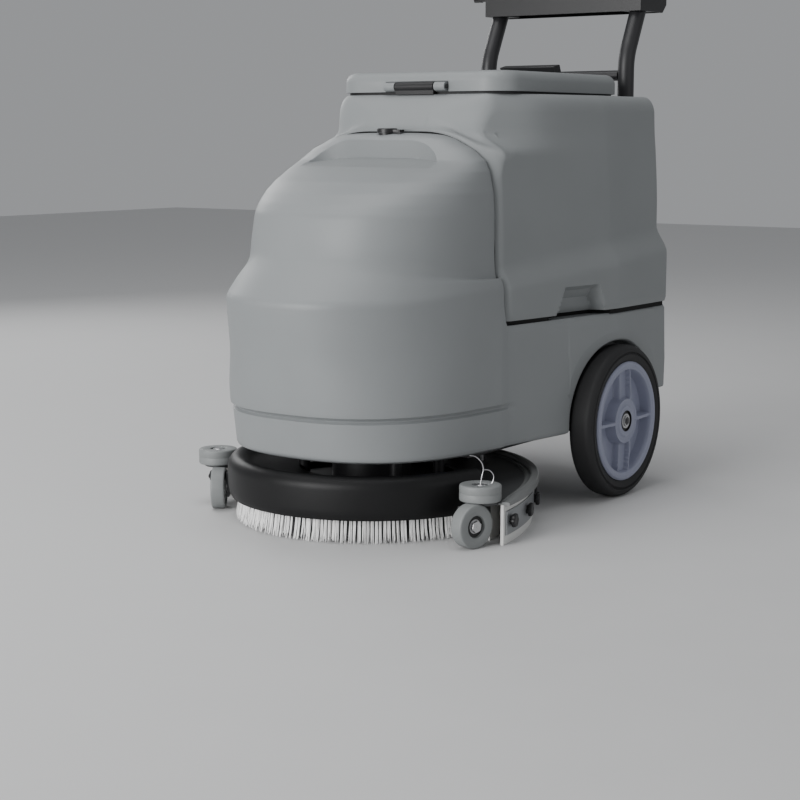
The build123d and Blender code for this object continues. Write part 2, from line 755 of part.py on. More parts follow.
with BuildPart() as intake_filter:
    with BuildSketch(Plane.XY.offset(intake_top)):
        with Locations((intake_x, intake_y)):
            Circle(28)
            Circle(25, mode=Mode.SUBTRACT)
            with PolarLocations(27, 8):
                Rectangle(12, 9, mode=Mode.SUBTRACT)
    extrude(amount=60)
    for z in (intake_top, intake_top + 60):
        with BuildSketch(Plane.XY.offset(z)):
            with Locations((intake_x, intake_y)):
                Circle(28)
                Circle(10, mode=Mode.SUBTRACT)
        extrude(amount=3)
save(intake_filter, "intake_filter", (0.85, 0.85, 0.86))

hinge_y, hinge_z = lid_front - 3.0, tank_high + 12
with BuildPart() as lid_gasket:
    with BuildSketch(Plane.XY.offset(tank_high)):
        with Locations((0, lid_y)):
            RectangleRounded(316, lid_deep - 10, 46)
            RectangleRounded(302, lid_deep - 24, 40, mode=Mode.SUBTRACT)
    extrude(amount=4)
save(lid_gasket, "lid_gasket", (0.05, 0.05, 0.05))

with BuildPart() as tank_lid:
    with BuildSketch(Plane.XY.offset(tank_high + 4.1)):
        with Locations((0, lid_y)):
            RectangleRounded(326, lid_deep, 48)
    extrude(amount=lid_high - tank_high - 4.1)
    fillet(tank_lid.edges().group_by(Axis.Z)[-1], 16)
    with BuildSketch(Plane.XY.offset(tank_high + 4.1)):
        with Locations((0, lid_y)):
            RectangleRounded(310, lid_deep - 28, 44)
    extrude(amount=lid_high - tank_high - 10, mode=Mode.SUBTRACT)
    with BuildSketch(Plane.YZ.offset(-60)):
        with Locations((hinge_y, hinge_z)):
            Circle(9)
    extrude(amount=120, mode=Mode.SUBTRACT)
    # knuckles round the hinge pin
    for x in (-58, 38):
        with BuildSketch(Plane.YZ.offset(x)):
            with Locations((hinge_y, hinge_z)):
                Circle(7)
            with Locations((hinge_y + 6, hinge_z)):
                Rectangle(12, 14)
            with Locations((hinge_y, hinge_z)):
                Circle(3.05, mode=Mode.SUBTRACT)
        extrude(amount=20)
save(tank_lid, "tank_lid", (0.5, 0.53, 0.54))

with BuildPart() as lid_hinge:
    with BuildSketch(Plane.YZ.offset(-60)):
        with Locations((hinge_y, hinge_z)):
            Circle(3)
    extrude(amount=120)
    with BuildSketch(Plane.YZ.offset(-36)):
        with Locations((hinge_y, hinge_z)):
            Circle(7)
        with Locations((hinge_y, hinge_z - 6)):
            Rectangle(8, 12)
    extrude(amount=72)
save(lid_hinge, "lid_hinge", (0.2, 0.2, 0.2))

with BuildPart() as lid_handle:
    with BuildSketch(Plane.YZ.offset(-55)):
        with BuildLine():
            Polyline(
                (lid_y + 146, lid_high), (lid_y + 146, lid_high + 4), (lid_y + 138, lid_high + 16),
                (lid_y + 158, lid_high + 20), (lid_y + 166, lid_high),
                close=True,
            )
        make_face()
    extrude(amount=110)
save(lid_handle, "lid_handle", (0.05, 0.05, 0.05))

# ---- handle: uprights, console, tilting bar, grips, bail lever ----
lever_y, lever_z = upright_y, 560.0


def upright_rods(inner):
    """The two bent uprights of the handle, solid or bored to the given inner radius."""
    with BuildPart() as rods:
        for side in (-1, 1):
            with BuildLine() as path:
                FilletPolyline(
                    (side * upright_x, upright_y, rail_high + 2),
                    (side * upright_x, upright_y, 720),
                    (side * upright_x, upright_y + 42, 806),
                    radius=90,
                )
            with BuildSketch(Plane.XY.offset(rail_high + 2)):
                with Locations((side * upright_x, upright_y)):
                    Circle(tube_r)
                    if inner:
                        Circle(inner, mode=Mode.SUBTRACT)
            sweep(path=path.line)
    return rods


with BuildPart() as handle_uprights:
    add(upright_rods(tube_r - 2).part)
    with BuildSketch(Plane.YZ.offset(-upright_x + tube_r - 1)):
        with Locations((upright_y, 690)):
            Circle(9)
    extrude(amount=2 * (upright_x - tube_r + 1))
    # boss and stud of the lift lever
    with BuildSketch(Plane.YZ.offset(-upright_x - tube_r + 2)):
        with Locations((lever_y, lever_z)):
            Circle(13)
    extrude(amount=-9)
    with BuildSketch(Plane.YZ.offset(-upright_x - tube_r - 7)):
        with Locations((lever_y, lever_z)):
            Circle(6)
    extrude(amount=-12)
save(handle_uprights, "handle_uprights", (0.12, 0.12, 0.13))

console_low, console_front, console_back = 800.0, brush_y + 566, brush_y + 662
slope_low, slope_high, slope_top = 836.0, 896.0, brush_y + 602
with BuildPart() as console:
    with BuildSketch(Plane.YZ.offset(-console_half)):
        with BuildLine():
            Polyline(
                (console_front, console_low), (console_back - 14, console_low), (console_back, 814),
                (console_back, slope_low), (slope_top, slope_high), (console_front, slope_high),
                close=True,
            )
        make_face()
    extrude(amount=2 * console_half)
    with BuildSketch(Plane.YZ.offset(-console_half + 4)):
        with BuildLine():
            Polyline(
                (console_front + 4, console_low - 1), (console_back - 18, console_low - 1),
                (console_back - 4, 816), (console_back - 4, slope_low - 2),
                (slope_top - 2, slope_high - 4), (console_front + 4, slope_high - 4),
                close=True,
            )
        make_face()
    extrude(amount=2 * (console_half - 4), mode=Mode.SUBTRACT)
    # brackets that take the tops of the uprights
    for side in (-1, 1):
        with BuildSketch(Plane.YZ.offset(side * (upright_x - 20))):
            with BuildLine():
                Polyline(
                    (console_front + 2, console_low), (console_back - 40, console_low),
                    (console_back - 40, 822), (console_front + 2, 822),
                    close=True,
                )
            make_face()
        extrude(amount=side * 36)
    add(upright_rods(0).part, mode=Mode.SUBTRACT)
save(console, "console", (0.1, 0.1, 0.11))

panel = Plane(
    origin=(0, (console_back + slope_top) / 2, (slope_low + slope_high) / 2),
    x_dir=(1, 0, 0),
    z_dir=(0, math.sqrt(0.5), math.sqrt(0.5)),
)

with BuildPart() as display:
    with BuildSketch(panel):
        RectangleRounded(74, 40, 5)
    extrude(amount=3)
save(display, "display", (0.1, 0.15, 0.2))

rocker_x = (66.0, 96.0)
key_x, stop_x, valve_x = -70.0, -122.0, 130.0
with BuildPart() as panel_trim:
    with BuildSketch(panel):
        with Locations((key_x, 0)):
            Circle(11)
            Circle(7.1, mode=Mode.SUBTRACT)
    extrude(amount=6)
    with BuildSketch(panel):
        with Locations((stop_x, 0)):
            Circle(19)
            Circle(9.4, mode=Mode.SUBTRACT)
    extrude(amount=5)
    with BuildSketch(panel):
        for x in rocker_x:
            with Locations((x, 0)):
                Rectangle(22, 34)
                Rectangle(16, 28, mode=Mode.SUBTRACT)
    extrude(amount=3.5)
save(panel_trim, "panel_trim", (0.6, 0.6, 0.6))

with BuildPart() as ignition_key:
    with BuildSketch(panel.offset(0.3)):
        with Locations((key_x, 0)):
            Circle(7)
    extrude(amount=7)
    with BuildSketch(panel.offset(7)):
        with Locations((key_x, 0)):
            RectangleRounded(4, 22, 1.5)
    extrude(amount=20)
save(ignition_key, "ignition_key", (0.6, 0.6, 0.6))

with BuildPart() as stop_button:
    with BuildSketch(panel.offset(5.4)):
        with Locations((stop_x, 0)):
            Circle(9)
    extrude(amount=7)
    with BuildSketch(panel.offset(11.5)):
        with Locations((stop_x, 0)):
            Circle(17)
    extrude(amount=11)
    fillet(stop_button.faces().sort_by(Axis((0, 0, 0), panel.z_dir))[-1].edges(), 4)
save(stop_button, "stop_button", (0.75, 0.05, 0.05))


def rocker_switch(x):
    """Rocker that tips about its middle inside a frame."""
    with BuildPart() as cap:
        with BuildSketch(panel.offset(1.8)):
            with Locations((x, 0)):
                Rectangle(15, 26)
        extrude(amount=4)
    return cap


save(rocker_switch(rocker_x[0]), "brush_switch", (0.1, 0.3, 0.12))
save(rocker_switch(rocker_x[1]), "vacuum_switch", (0.1, 0.12, 0.35))

with BuildPart() as water_knob:
    with BuildSketch(panel.offset(0.3)):
        with Locations((valve_x, 0)):
            Circle(14)
    extrude(amount=15)
    with BuildSketch(panel.offset(15)):
        with Locations((valve_x, 5)):
            Rectangle(3, 10)
    extrude(amount=1.5)
save(water_knob, "water_knob", (0.05, 0.05, 0.05))

with BuildPart() as handlebar:
    with BuildLine() as bar_path:
        FilletPolyline(
            (bar_x, pivot_y, pivot_z), (bar_x, bar_y, bar_z), (-bar_x, bar_y, bar_z), (-bar_x, pivot_y, pivot_z),
            radius=34,
        )
    with BuildSketch(Plane(origin=(bar_x, pivot_y, pivot_z), z_dir=bar_path.line % 0)):
        Circle(bar_r)
    sweep(path=bar_path.line)
    for side in (-1, 1):
        with BuildSketch(Plane.YZ.offset(side * (bar_x - eye_half))):
            with Locations((pivot_y, pivot_z)):
                Circle(19)
        extrude(amount=side * 2 * eye_half)
    with BuildSketch(Plane.YZ.offset(-bar_x - 20)):
        with Locations((pivot_y, pivot_z)):
            Circle(6.1)
    extrude(amount=2 * bar_x + 40, mode=Mode.SUBTRACT)
save(handlebar, "handlebar", (0.12, 0.12, 0.13))

with BuildPart() as grips:
    for side in (-1, 1):
        with BuildSketch(Plane.YZ.offset(side * 44)):
            with Locations((bar_y, bar_z)):
                Circle(bar_r + 4)
                Circle(bar_r, mode=Mode.SUBTRACT)
        extrude(amount=side * 98)
save(grips, "grips", (0.06, 0.06, 0.06))



def tilt_knob(side):
    """Lobed clamp knob with its stud and the washer between the console and the bar."""
    with BuildPart() as knob:
        with BuildSketch(Plane.YZ.offset(side * (console_half + 0.3))):
            with Locations((pivot_y, pivot_z)):
                Circle(6)
        extrude(amount=side * 40)
        with BuildSketch(Plane.YZ.offset(side * (bar_x + eye_half + 0.5))):
            with Locations((pivot_y, pivot_z)):
                Circle(20)
                with PolarLocations(22, 6):
                    Circle(6, mode=Mode.SUBTRACT)
        extrude(amount=side * 14)
        with BuildSketch(Plane.YZ.offset(side * (console_half + 0.3))):
            with Locations((pivot_y, pivot_z)):
                Circle(16)
        extrude(amount=side * (bar_x - eye_half - console_half - 0.8))
    return knob


save(tilt_knob(-1), "tilt_knob_left", (0.05, 0.05, 0.05))
save(tilt_knob(1), "tilt_knob_right", (0.05, 0.05, 0.05))

bail_x, bail_y, bail_z = bar_x - bar_r - 5, brush_y + 668, pivot_z + 22
bail_reach, bail_drop = 14.0, 14.0
with BuildPart() as bail_lever:
    with BuildSketch(Plane.XY.offset(bail_z - 22)):
        with Locations((0, bar_y + 2)):
            Rectangle(250, 16)
    extrude(amount=8)
    for side in (-1, 1):
        with BuildSketch(Plane.YZ.offset(side * 125)):
            with BuildLine():
                Polyline(
                    (bail_y - 7, bail_z - 6), (bail_y + 7, bail_z + 6), (bar_y + 10, bail_z - 14),
                    (bar_y + 10, bail_z - 22), (bar_y - 6, bail_z - 22),
                    close=True,
                )
            make_face()
        extrude(amount=side * 6)
        with BuildSketch(Plane.YZ.offset(side * 125)):
            with Locations((bail_y, bail_z)):
                Circle(7)
        extrude(amount=side * (bail_x - 125 + 3))
save(bail_lever, "bail_lever", (0.05, 0.05, 0.05))

# ---- squeegee lift lever on the left upright ----
with BuildPart() as squeegee_lever:
    with BuildSketch(Plane.YZ.offset(-upright_x - tube_r - 8)):
        with Locations((lever_y, lever_z)):
            Circle(14)
        with BuildLine():
            Polyline(
                (lever_y - 8, lever_z - 10), (lever_y + 74, lever_z + 36), (lever_y + 68, lever_z + 48),
                (lever_y - 8, lever_z + 10),
                close=True,
            )
        make_face()
        with Locations((lever_y, lever_z)):
            Circle(6.1, mode=Mode.SUBTRACT)
    extrude(amount=-8)
    with Locations((-upright_x - tube_r - 12, lever_y + 78, lever_z + 46)):
        Sphere(15)
save(squeegee_lever, "squeegee_lever", (0.7, 0.1, 0.08))
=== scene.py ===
import math

import bmesh
import bpy
import numpy as np
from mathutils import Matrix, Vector


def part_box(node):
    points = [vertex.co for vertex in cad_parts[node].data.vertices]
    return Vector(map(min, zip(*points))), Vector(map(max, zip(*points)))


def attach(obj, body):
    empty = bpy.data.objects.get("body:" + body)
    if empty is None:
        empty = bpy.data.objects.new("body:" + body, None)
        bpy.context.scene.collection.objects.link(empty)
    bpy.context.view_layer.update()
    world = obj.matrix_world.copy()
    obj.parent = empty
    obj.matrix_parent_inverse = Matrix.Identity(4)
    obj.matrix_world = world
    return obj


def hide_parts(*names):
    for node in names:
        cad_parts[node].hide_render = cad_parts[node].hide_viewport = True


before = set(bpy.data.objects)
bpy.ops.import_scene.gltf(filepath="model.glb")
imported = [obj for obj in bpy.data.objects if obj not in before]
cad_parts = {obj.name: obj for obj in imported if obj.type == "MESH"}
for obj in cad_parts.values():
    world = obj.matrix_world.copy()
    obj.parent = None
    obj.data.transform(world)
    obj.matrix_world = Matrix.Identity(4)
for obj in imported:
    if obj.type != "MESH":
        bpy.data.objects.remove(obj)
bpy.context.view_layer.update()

# Grey rotomoulded casing: the front water tank and the low base are one hollow moulding.
# Polyethylene, with a fine skin from the mould, a drip groove round the skirt, a scooped tray in the
# dome and round arches over the rear wheels.
disc_low, disc_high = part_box("bristles")
disc_y = (disc_low.y + disc_high.y) / 2
mm = 0.001


def moulded_plastic(name, colour, rough=0.5, grain=0.25, spread=0.06, scale=900.0, coat=0.0):
    """Moulded plastic: a slow noise shades the colour, a fine noise is the skin's grain."""
    mat = bpy.data.materials.new(name)
    mat.use_nodes = True
    nodes, links = mat.node_tree.nodes, mat.node_tree.links
    shader = nodes["Principled BSDF"]
    place = nodes.new("ShaderNodeTexCoord")
    slow = nodes.new("ShaderNodeTexNoise")
    slow.inputs["Scale"].default_value = 9.0
    slow.inputs["Detail"].default_value = 3.0
    fine = nodes.new("ShaderNodeTexNoise")
    fine.inputs["Scale"].default_value = scale
    fine.inputs["Detail"].default_value = 2.0
    tone = nodes.new("ShaderNodeMix")
    tone.data_type = "RGBA"
    tone.inputs[6].default_value = [c * (1 - spread) for c in colour] + [1]
    tone.inputs[7].default_value = [min(1, c * (1 + spread)) for c in colour] + [1]
    gloss = nodes.new("ShaderNodeMapRange")
    gloss.inputs["To Min"].default_value = rough - 0.06
    gloss.inputs["To Max"].default_value = rough + 0.08
    bump = nodes.new("ShaderNodeBump")
    bump.inputs["Strength"].default_value = grain
    bump.inputs["Distance"].default_value = 0.0004
    for texture in (slow, fine):
        links.new(place.outputs["Object"], texture.inputs["Vector"])
    links.new(slow.outputs["Fac"], tone.inputs[0])
    links.new(tone.outputs[2], shader.inputs["Base Color"])
    links.new(slow.outputs["Fac"], gloss.inputs["Value"])
    links.new(gloss.outputs["Result"], shader.inputs["Roughness"])
    links.new(fine.outputs["Fac"], bump.inputs["Height"])
    links.new(bump.outputs["Normal"], shader.inputs["Normal"])
    shader.inputs["Coat Weight"].default_value = coat
    return mat


def grid_faces(rows, cols, start=0, wrap=False):
    """Quads between neighbours of a rows by cols grid numbered row by row from start."""
    last = cols if wrap else cols - 1
    r, c = np.meshgrid(np.arange(rows - 1), np.arange(last), indexing="ij")
    a = start + r * cols + c
    b = start + r * cols + (c + 1) % cols
    return np.stack([a, b, b + cols, a + cols], -1).reshape(-1, 4)


def make_piece(name, points, faces, material, body, replaced=(), angle=38.0, merge=1e-6):
    """One mesh from arrays: doubles merged, faces turned outwards, smooth but for its corners."""
    mesh = bpy.data.meshes.new(name)
    mesh.from_pydata(np.asarray(points, float).tolist(), [], [list(map(int, f)) for f in faces])
    shape = bmesh.new()
    shape.from_mesh(mesh)
    bmesh.ops.remove_doubles(shape, verts=shape.verts, dist=merge)
    bmesh.ops.dissolve_degenerate(shape, edges=shape.edges, dist=1e-7)
    bmesh.ops.recalc_face_normals(shape, faces=shape.faces)
    shape.to_mesh(mesh)
    shape.free()
    mesh.polygons.foreach_set("use_smooth", [True] * len(mesh.polygons))
    mesh.set_sharp_from_angle(angle=math.radians(angle))
    piece = bpy.data.objects.new(name, mesh)
    bpy.context.scene.collection.objects.link(piece)
    mesh.materials.append(material)
    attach(piece, body)
    if replaced:
        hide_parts(*replaced)
    return piece


def soft_step(x, low, high):
    """0 below low, 1 above high, and a cubic ease between."""
    t = np.clip((np.asarray(x, float) - low) / (high - low), 0, 1)
    return t * t * (3 - 2 * t)


def rounded_profile(corners, stations, reach):
    """A polyline read at the given shares of its length, each value a bell-weighted mean of those round it."""
    corners = np.array(corners, float)
    run = np.r_[0, np.cumsum(np.linalg.norm(np.diff(corners, axis=0), axis=1))]
    fine = np.linspace(0, run[-1], 3000)
    values = np.column_stack([np.interp(fine, run, c) for c in corners.T])
    half = int(reach / run[-1] * 3000)
    bell = np.hanning(2 * half + 3)[1:-1]
    bell /= bell.sum()
    padded = np.vstack([2 * values[0] - values[half:0:-1], values, 2 * values[-1] - values[-2:-half - 2:-1]])
    smooth = np.column_stack([np.convolve(c, bell, "valid") for c in padded.T])
    return np.column_stack([np.interp(stations * run[-1], fine, c) for c in smooth.T])


seam = 62.0                 # where the front tank meets the recovery tank
shelf_z = 303.0             # top of the low base
arch_y, arch_z, arch_r = 351.0, 125.0, 131.0
tail = 521.0
casing_corners = [          # nose, half width, height
    (-201, 208, 117), (-212, 209, 181), (-218, 209, 184), (-243, 205, 351), (-198, 192.4, 395), (-183, 188.6, 412),
    (-174, 187.4, 432), (-161, 187, 473),
    (-148, 186, 488), (-127, 185, 504), (-97, 181.5, 520), (-56, 178, 535), (-8, 170, 551),
    (11, 150, 567), (22, 113, 584), (29, 94, 589), (38, 72, 591), (49, 46, 592), (60, 16, 592.4),
]
stations = np.unique(np.r_[np.linspace(0, 0.13, 30), np.linspace(0.13, 0.5, 48), np.linspace(0.5, 1, 140)])
casing_rows = rounded_profile(casing_corners, stations, 9.0)
around = np.linspace(0, math.pi, 181)


def widen(y, z):
    """How much the sides spread by the time they reach y: a straight taper with a soft start, low down only."""
    spread = 0.06 * ((y - 30) + np.sqrt((y - 30) ** 2 + 900)) - 0.6
    return np.clip(spread, 0, 38) * (1 - soft_step(z, 300, 345))


def nose_grid(nose, half, height, power=2.5):
    """Superellipse per row: x = half cos^(2/p), y = seam - depth sin^(2/p), for t from 0 to pi."""
    c, s = np.cos(around)[None], np.sin(around)[None]
    power = power - 0.2 * (soft_step(height, 200, 280) * (1 - soft_step(height, 395, 440)))[:, None]
    x = half[:, None] * (np.sign(c) * np.abs(c) ** (2 / power))
    y = seam - (seam - nose)[:, None] * (np.abs(s) ** (2 / power))
    z = np.repeat(height[:, None], len(around), 1)
    return x, y, z


nose, half, height = casing_rows.T
height[np.argmin(np.abs(height - shelf_z))] = shelf_z
x, y, z = nose_grid(nose, half, height)
# the two creases run uphill from the nose towards the seam, or down, by a few millimetres
back = soft_step(y, -200, seam)
z = z + 10 * back * soft_step(z, 250, 350) * (1 - soft_step(z, 352, 400))
z = z - 27 * back * soft_step(z, 372, 406) * (1 - soft_step(z, 412, 470))
# drip groove above the skirt, which fades out along the sides
groove = 4.5 * np.exp(-((z - 181) / 3.4) ** 4) * (1 - soft_step(y, 30, 110))
skirt = 6.0 * (1 - soft_step(z, 117, 123)) ** 2
pull = 1 - (groove + skirt) / 210
x = x * pull
y = seam + (y - seam) * pull
x = x + np.sign(x) * widen(y, z) * np.minimum(1, np.abs(x) / 60)
# scooped tray: the dome is cut back to a shallow floor and an upright wall with rounded ends
inside = soft_step(z, 540.5, 542.5) * (1 - soft_step(z, 588, 591.5))
spread_x = np.abs(x)
wall_corner = np.clip((spread_x - 48) / 76, 0, 1)
wall_y = 26 + 8 * (spread_x / 85) ** 2 - 62 * (1 - np.sqrt(1 - 0.9999 * wall_corner ** 2.4))
lip_y = -40 + 24 * (np.abs(x) / 126) ** 3
base_z = 554 - 9 * (np.abs(x) / 126) ** 4
floor_share = np.clip((z - 541) / (base_z - 541), 0, 1) ** 0.8
cut_y = np.where(z < base_z, lip_y + (wall_y - lip_y) * floor_share, wall_y - 0.2 * (z - base_z))
y = y + inside * np.clip(cut_y - y, 0, None)
# the edge at the seam is eased
ease = np.exp(-np.clip(seam - y, 0, None) / 2.2)
x = x * (1 - 0.012 * ease)
nose_points = np.stack([x, y, z], -1)

base_rows = int(np.argmin(np.abs(height - shelf_z))) + 1
path_y = np.concatenate([
    seam + (arch_y - arch_r - seam) * np.linspace(0, 1, 26)[1:-1],
    arch_y - arch_r * np.cos(np.linspace(0, math.pi * 0.915, 60)),
    np.linspace(484, tail - 8, 5),
])
corner = np.linspace(0, math.pi / 2, 9)[1:]
path_y = np.concatenate([path_y, tail - 8 + 8 * np.sin(corner)])
corner_in = np.concatenate([np.zeros(len(path_y) - len(corner)), 8 * (1 - np.cos(corner))])
rise = np.where(
    np.abs(path_y - arch_y) < arch_r,
    arch_z + np.sqrt(np.clip(arch_r ** 2 - (path_y - arch_y) ** 2, 0, None)),
    117.0,
)
rise = np.where(path_y > 470, np.maximum(159.0, np.where(path_y < 482, rise, 0)), rise)
row_z = height[:base_rows]
share = (row_z - row_z[0]) / (row_z[-1] - row_z[0])
side_z = rise[None] + (row_z[-1] - rise[None]) * share[:, None]
side_pull = 1 - (groove[:base_rows, :1] * (1 - soft_step(path_y, 62, 92))[None] + skirt[:base_rows, :1]) / 210
side_x = half[:base_rows, None] * side_pull * 0.988 + widen(path_y[None], side_z)
side_x = side_x - corner_in[None]
side_y = np.repeat(path_y[None], base_rows, 0)
side_x = side_x - 3.0 * (1 - soft_step(side_z - rise[None], 0, 4)) - 3.0 * soft_step(side_z, 299, 303.5)
rear_x = np.linspace(-1, 1, 25)[1:-1]
rear_edge = side_x[:, -1:]
left = np.stack([-side_x, side_y, side_z], -1)
rear = np.stack([rear_x[None] * rear_edge, np.full((base_rows, 23), tail), np.repeat(side_z[:, -1:], 23, 1)], -1)
right = np.stack([side_x, side_y, side_z], -1)[:, ::-1]
body_points = np.concatenate([left, rear, right], 1)
outer_low = np.concatenate([nose_points[:base_rows], body_points], 1)
ring_n = outer_low.shape[1]

# the open lower edge turns in by the wall's thickness, and further in over the wheels
wall, arch_wall = 6.0, 36.0
lip = outer_low[0].copy()
in_arch = (np.abs(lip[:, 1] - arch_y) < arch_r + 0.5) & (lip[:, 2] > 118)
toward = lip[:, :2] - np.array([0.0, 160.0])
reach = np.linalg.norm(toward, axis=1, keepdims=True)
inner = lip.copy()
inner[:, :2] -= toward / reach * wall
inner[in_arch, 0] = lip[in_arch, 0] - np.sign(lip[in_arch, 0]) * arch_wall
inner[in_arch, 1] = lip[in_arch, 1]
ceiling = inner.copy()
ceiling[:, 2] = 296.0
low_stack = np.concatenate([inner[None], outer_low], 0)
low_faces = grid_faces(base_rows + 2, ring_n, 0, wrap=True)
low_count = (base_rows + 2) * ring_n
high_rows = nose_points[base_rows - 1:]
high_start = low_count
high_faces = grid_faces(len(high_rows), len(around), high_start)
faces = [list(f) for f in low_faces] + [list(f) for f in high_faces]
faces.append(list(range(ring_n)))
top_row = low_count - ring_n
shelf = [top_row + len(around) - 1] + [top_row + i for i in range(len(around), ring_n)] + [top_row]
faces.append(shelf)
n_col = len(around)
for i in range(len(high_rows) - 1):
    a = high_start + i * n_col
    faces.append([a, a + n_col - 1, a + 2 * n_col - 1, a + n_col])
faces.append([high_start + (len(high_rows) - 1) * n_col + j for j in range(n_col)])
points = np.concatenate([ceiling, low_stack.reshape(-1, 3), high_rows.reshape(-1, 3)])
points = points * mm + np.array([0, disc_y, 0])
casing_grey = moulded_plastic("Casing grey polyethylene", (0.242, 0.255, 0.260), rough=0.47, grain=0.22)
make_piece("casing", points, faces, casing_grey, "chassis", ["body_shell"], angle=34, merge=1e-5)

# Liner of each wheel arch: the same grey moulding, a half-round wall behind the wheel that keeps
# water off the batteries. It is part of the casing's mould.
liner_r = np.linspace(0, 1, 8)
liner_t = np.linspace(math.radians(-4), math.radians(184), 60)
liner_n = (len(liner_r), len(liner_t))
liner_parts, liner_faces, count = [], [], 0
for side in (-1, 1):
    radius = 20 + (arch_r + 1 - 20) * liner_r[:, None]
    yy = arch_y + radius * np.cos(liner_t)[None]
    zz = np.maximum(arch_z + radius * np.sin(liner_t)[None], 116)
    for depth_x in (208.0, 204.0):
        liner_parts.append(np.stack([np.full_like(yy, side * depth_x), yy, zz], -1).reshape(-1, 3))
        liner_faces.append(grid_faces(*liner_n, count))
        count += liner_n[0] * liner_n[1]
make_piece("wheel_arch_liners", np.concatenate(liner_parts) * mm + np.array([0, disc_y, 0]),
           np.concatenate(liner_faces), casing_grey, "chassis")

# Lift-off recovery tank: a second grey moulding with a soft shoulder line that climbs to the rear,
# a roof that slopes up from the seam, and a finger pull in each lower edge.
tank_front, tank_rear = seam + 3.0, 520.0
corner_r, rear_r = 15.0, 10.0
turn = np.linspace(0, math.pi / 2, 12)
straight = np.linspace(tank_front + corner_r, tank_rear - rear_r, 120)
front_turn, rear_turn = turn[::-1][:-1], turn[1:]
loop_y = np.concatenate([
    tank_front + corner_r * (1 - np.sin(front_turn)), straight, tank_rear - rear_r + rear_r * np.sin(rear_turn)])
loop_in = np.concatenate([
    corner_r * (1 - np.cos(front_turn)), np.zeros(len(straight)), rear_r * (1 - np.cos(rear_turn))])
across = np.linspace(-1, 1, 33)[1:-1]

low_half = np.minimum(205.5 + 0.139 * (loop_y - seam), 245.5)
high_half = np.minimum(190 + 0.122 * (loop_y - seam), 225)
low_crease = 357 + 0.085 * (loop_y - seam)
high_crease = 390 + 0.095 * (loop_y - seam)
climb = soft_step(loop_y, seam, 122)
roof = 597 + 55 * climb
side_drop = 92 - 62 * climb
side_turn = 130 - 108 * climb
fullness = 2.2 - 0.2 * climb
surplus = high_half - 8 - (113 + 0.72 * (loop_y - seam))
drawn_in = (surplus + np.sqrt(surplus ** 2 + 26 ** 2)) / 2 * soft_step(loop_y, 64, 88)

wall_levels = np.linspace(0, 1, 44)
shoulder_t = np.linspace(0, math.pi / 2, 24)[1:]
wall_top = roof - side_drop
level_z = 309.5 + (wall_top - 309.5)[None] * wall_levels[:, None]
blend_in = 1 - soft_step(level_z, low_crease[None] - 4, high_crease[None] + 4)
upper = high_half[None] - 8 * soft_step(level_z, high_crease[None] + 30, 640)
wall_x = upper + (low_half[None] - upper) * blend_in - loop_in[None]
wall_x = wall_x - 2.5 * (1 - soft_step(level_z, 309.5, 313)) ** 2
curve_z = wall_top[None] + side_drop[None] * (np.sin(shoulder_t)[:, None] ** (2 / fullness[None]))
curve_x = wall_x[-1][None] - side_turn[None] * (1 - np.abs(np.cos(shoulder_t)[:, None]) ** (2 / fullness[None]))
level_x = np.concatenate([wall_x, curve_x])
level_z = np.concatenate([level_z, curve_z])
level_x = level_x - drawn_in[None] * soft_step(level_z, 560, 594)
level_y = np.repeat(loop_y[None], len(level_x), 0)
# finger pull: the wall is pressed in, below a level top edge with two slanted feet
pull_low, pull_high = 196.0, 306.0
slant = (348 - level_z) * 0.42
pressed = soft_step(level_y, pull_low - 4 + 36 - slant - 22, pull_low + 3 + 36 - slant - 22)
pressed = pressed * (1 - soft_step(level_y, pull_high - 3 - 14 + slant, pull_high + 4 - 14 + slant))
pressed = pressed * (1 - soft_step(level_z, 343, 349))
level_x = level_x - 24 * pressed
rows = len(level_x)
left = np.stack([-level_x, level_y, level_z], -1)
right = np.stack([level_x, level_y, level_z], -1)[:, ::-1]
cross_n = len(across)
rear = np.stack([
    across[None] * level_x[:, -1:], np.full((rows, cross_n), tank_rear),
    np.repeat(level_z[:, -1:], cross_n, 1)], -1)
front = np.stack([
    -across[None] * level_x[:, :1], np.full((rows, cross_n), tank_front),
    np.repeat(level_z[:, :1], cross_n, 1)], -1)
tank_ring = np.concatenate([left, rear, right, front], 1)
# roof, mouth and inside: each point of the top ring runs level to the mouth's edge, a rounded box of
# |x / a|^8 + |y / b|^8 = 1 about its middle, and then down the inside, one wall behind the outer face
mouth_x, mouth_b, mouth_mid, inner_wall = 146.0, 174.0, 314.0, 7.0
top_ring = tank_ring[-1]
bearing = np.arctan2(top_ring[:, 1] - mouth_mid, top_ring[:, 0])
mouth_reach = (np.abs(np.cos(bearing) / mouth_x) ** 8 + np.abs(np.sin(bearing) / mouth_b) ** 8) ** (-1 / 8)
mouth_edge = np.stack([mouth_reach * np.cos(bearing), mouth_mid + mouth_reach * np.sin(bearing)], -1)
caps = []
for k in np.linspace(0, 1, 15)[1:]:
    cap = top_ring.copy()
    cap[:, :2] += (mouth_edge - top_ring[:, :2]) * k
    cap[:, 2] = 597 + 55 * soft_step(cap[:, 1], seam, 122)
    caps.append(cap)
mouth_lip = np.column_stack([mouth_edge, np.full(len(mouth_edge), 644.0)])
within = tank_ring[2:wall_x.shape[0]:4][::-1].copy()
toward_mid = within[:, :, :2] - np.array([0.0, 290.0])
within[:, :, :2] -= toward_mid / np.linalg.norm(toward_mid, axis=-1, keepdims=True) * inner_wall
under_roof = within[0].copy()
under_roof[:, :2] += (mouth_edge - under_roof[:, :2]) * 0.88
under_roof[:, 2] = 588 + 55 * soft_step(under_roof[:, 1], seam, 122)
tank_ring = np.concatenate([tank_ring, np.array(caps), mouth_lip[None], under_roof[None], within])
count = tank_ring.shape[1]
faces = [list(f) for f in grid_faces(len(tank_ring), count, 0, wrap=True)] + [list(range(count))]
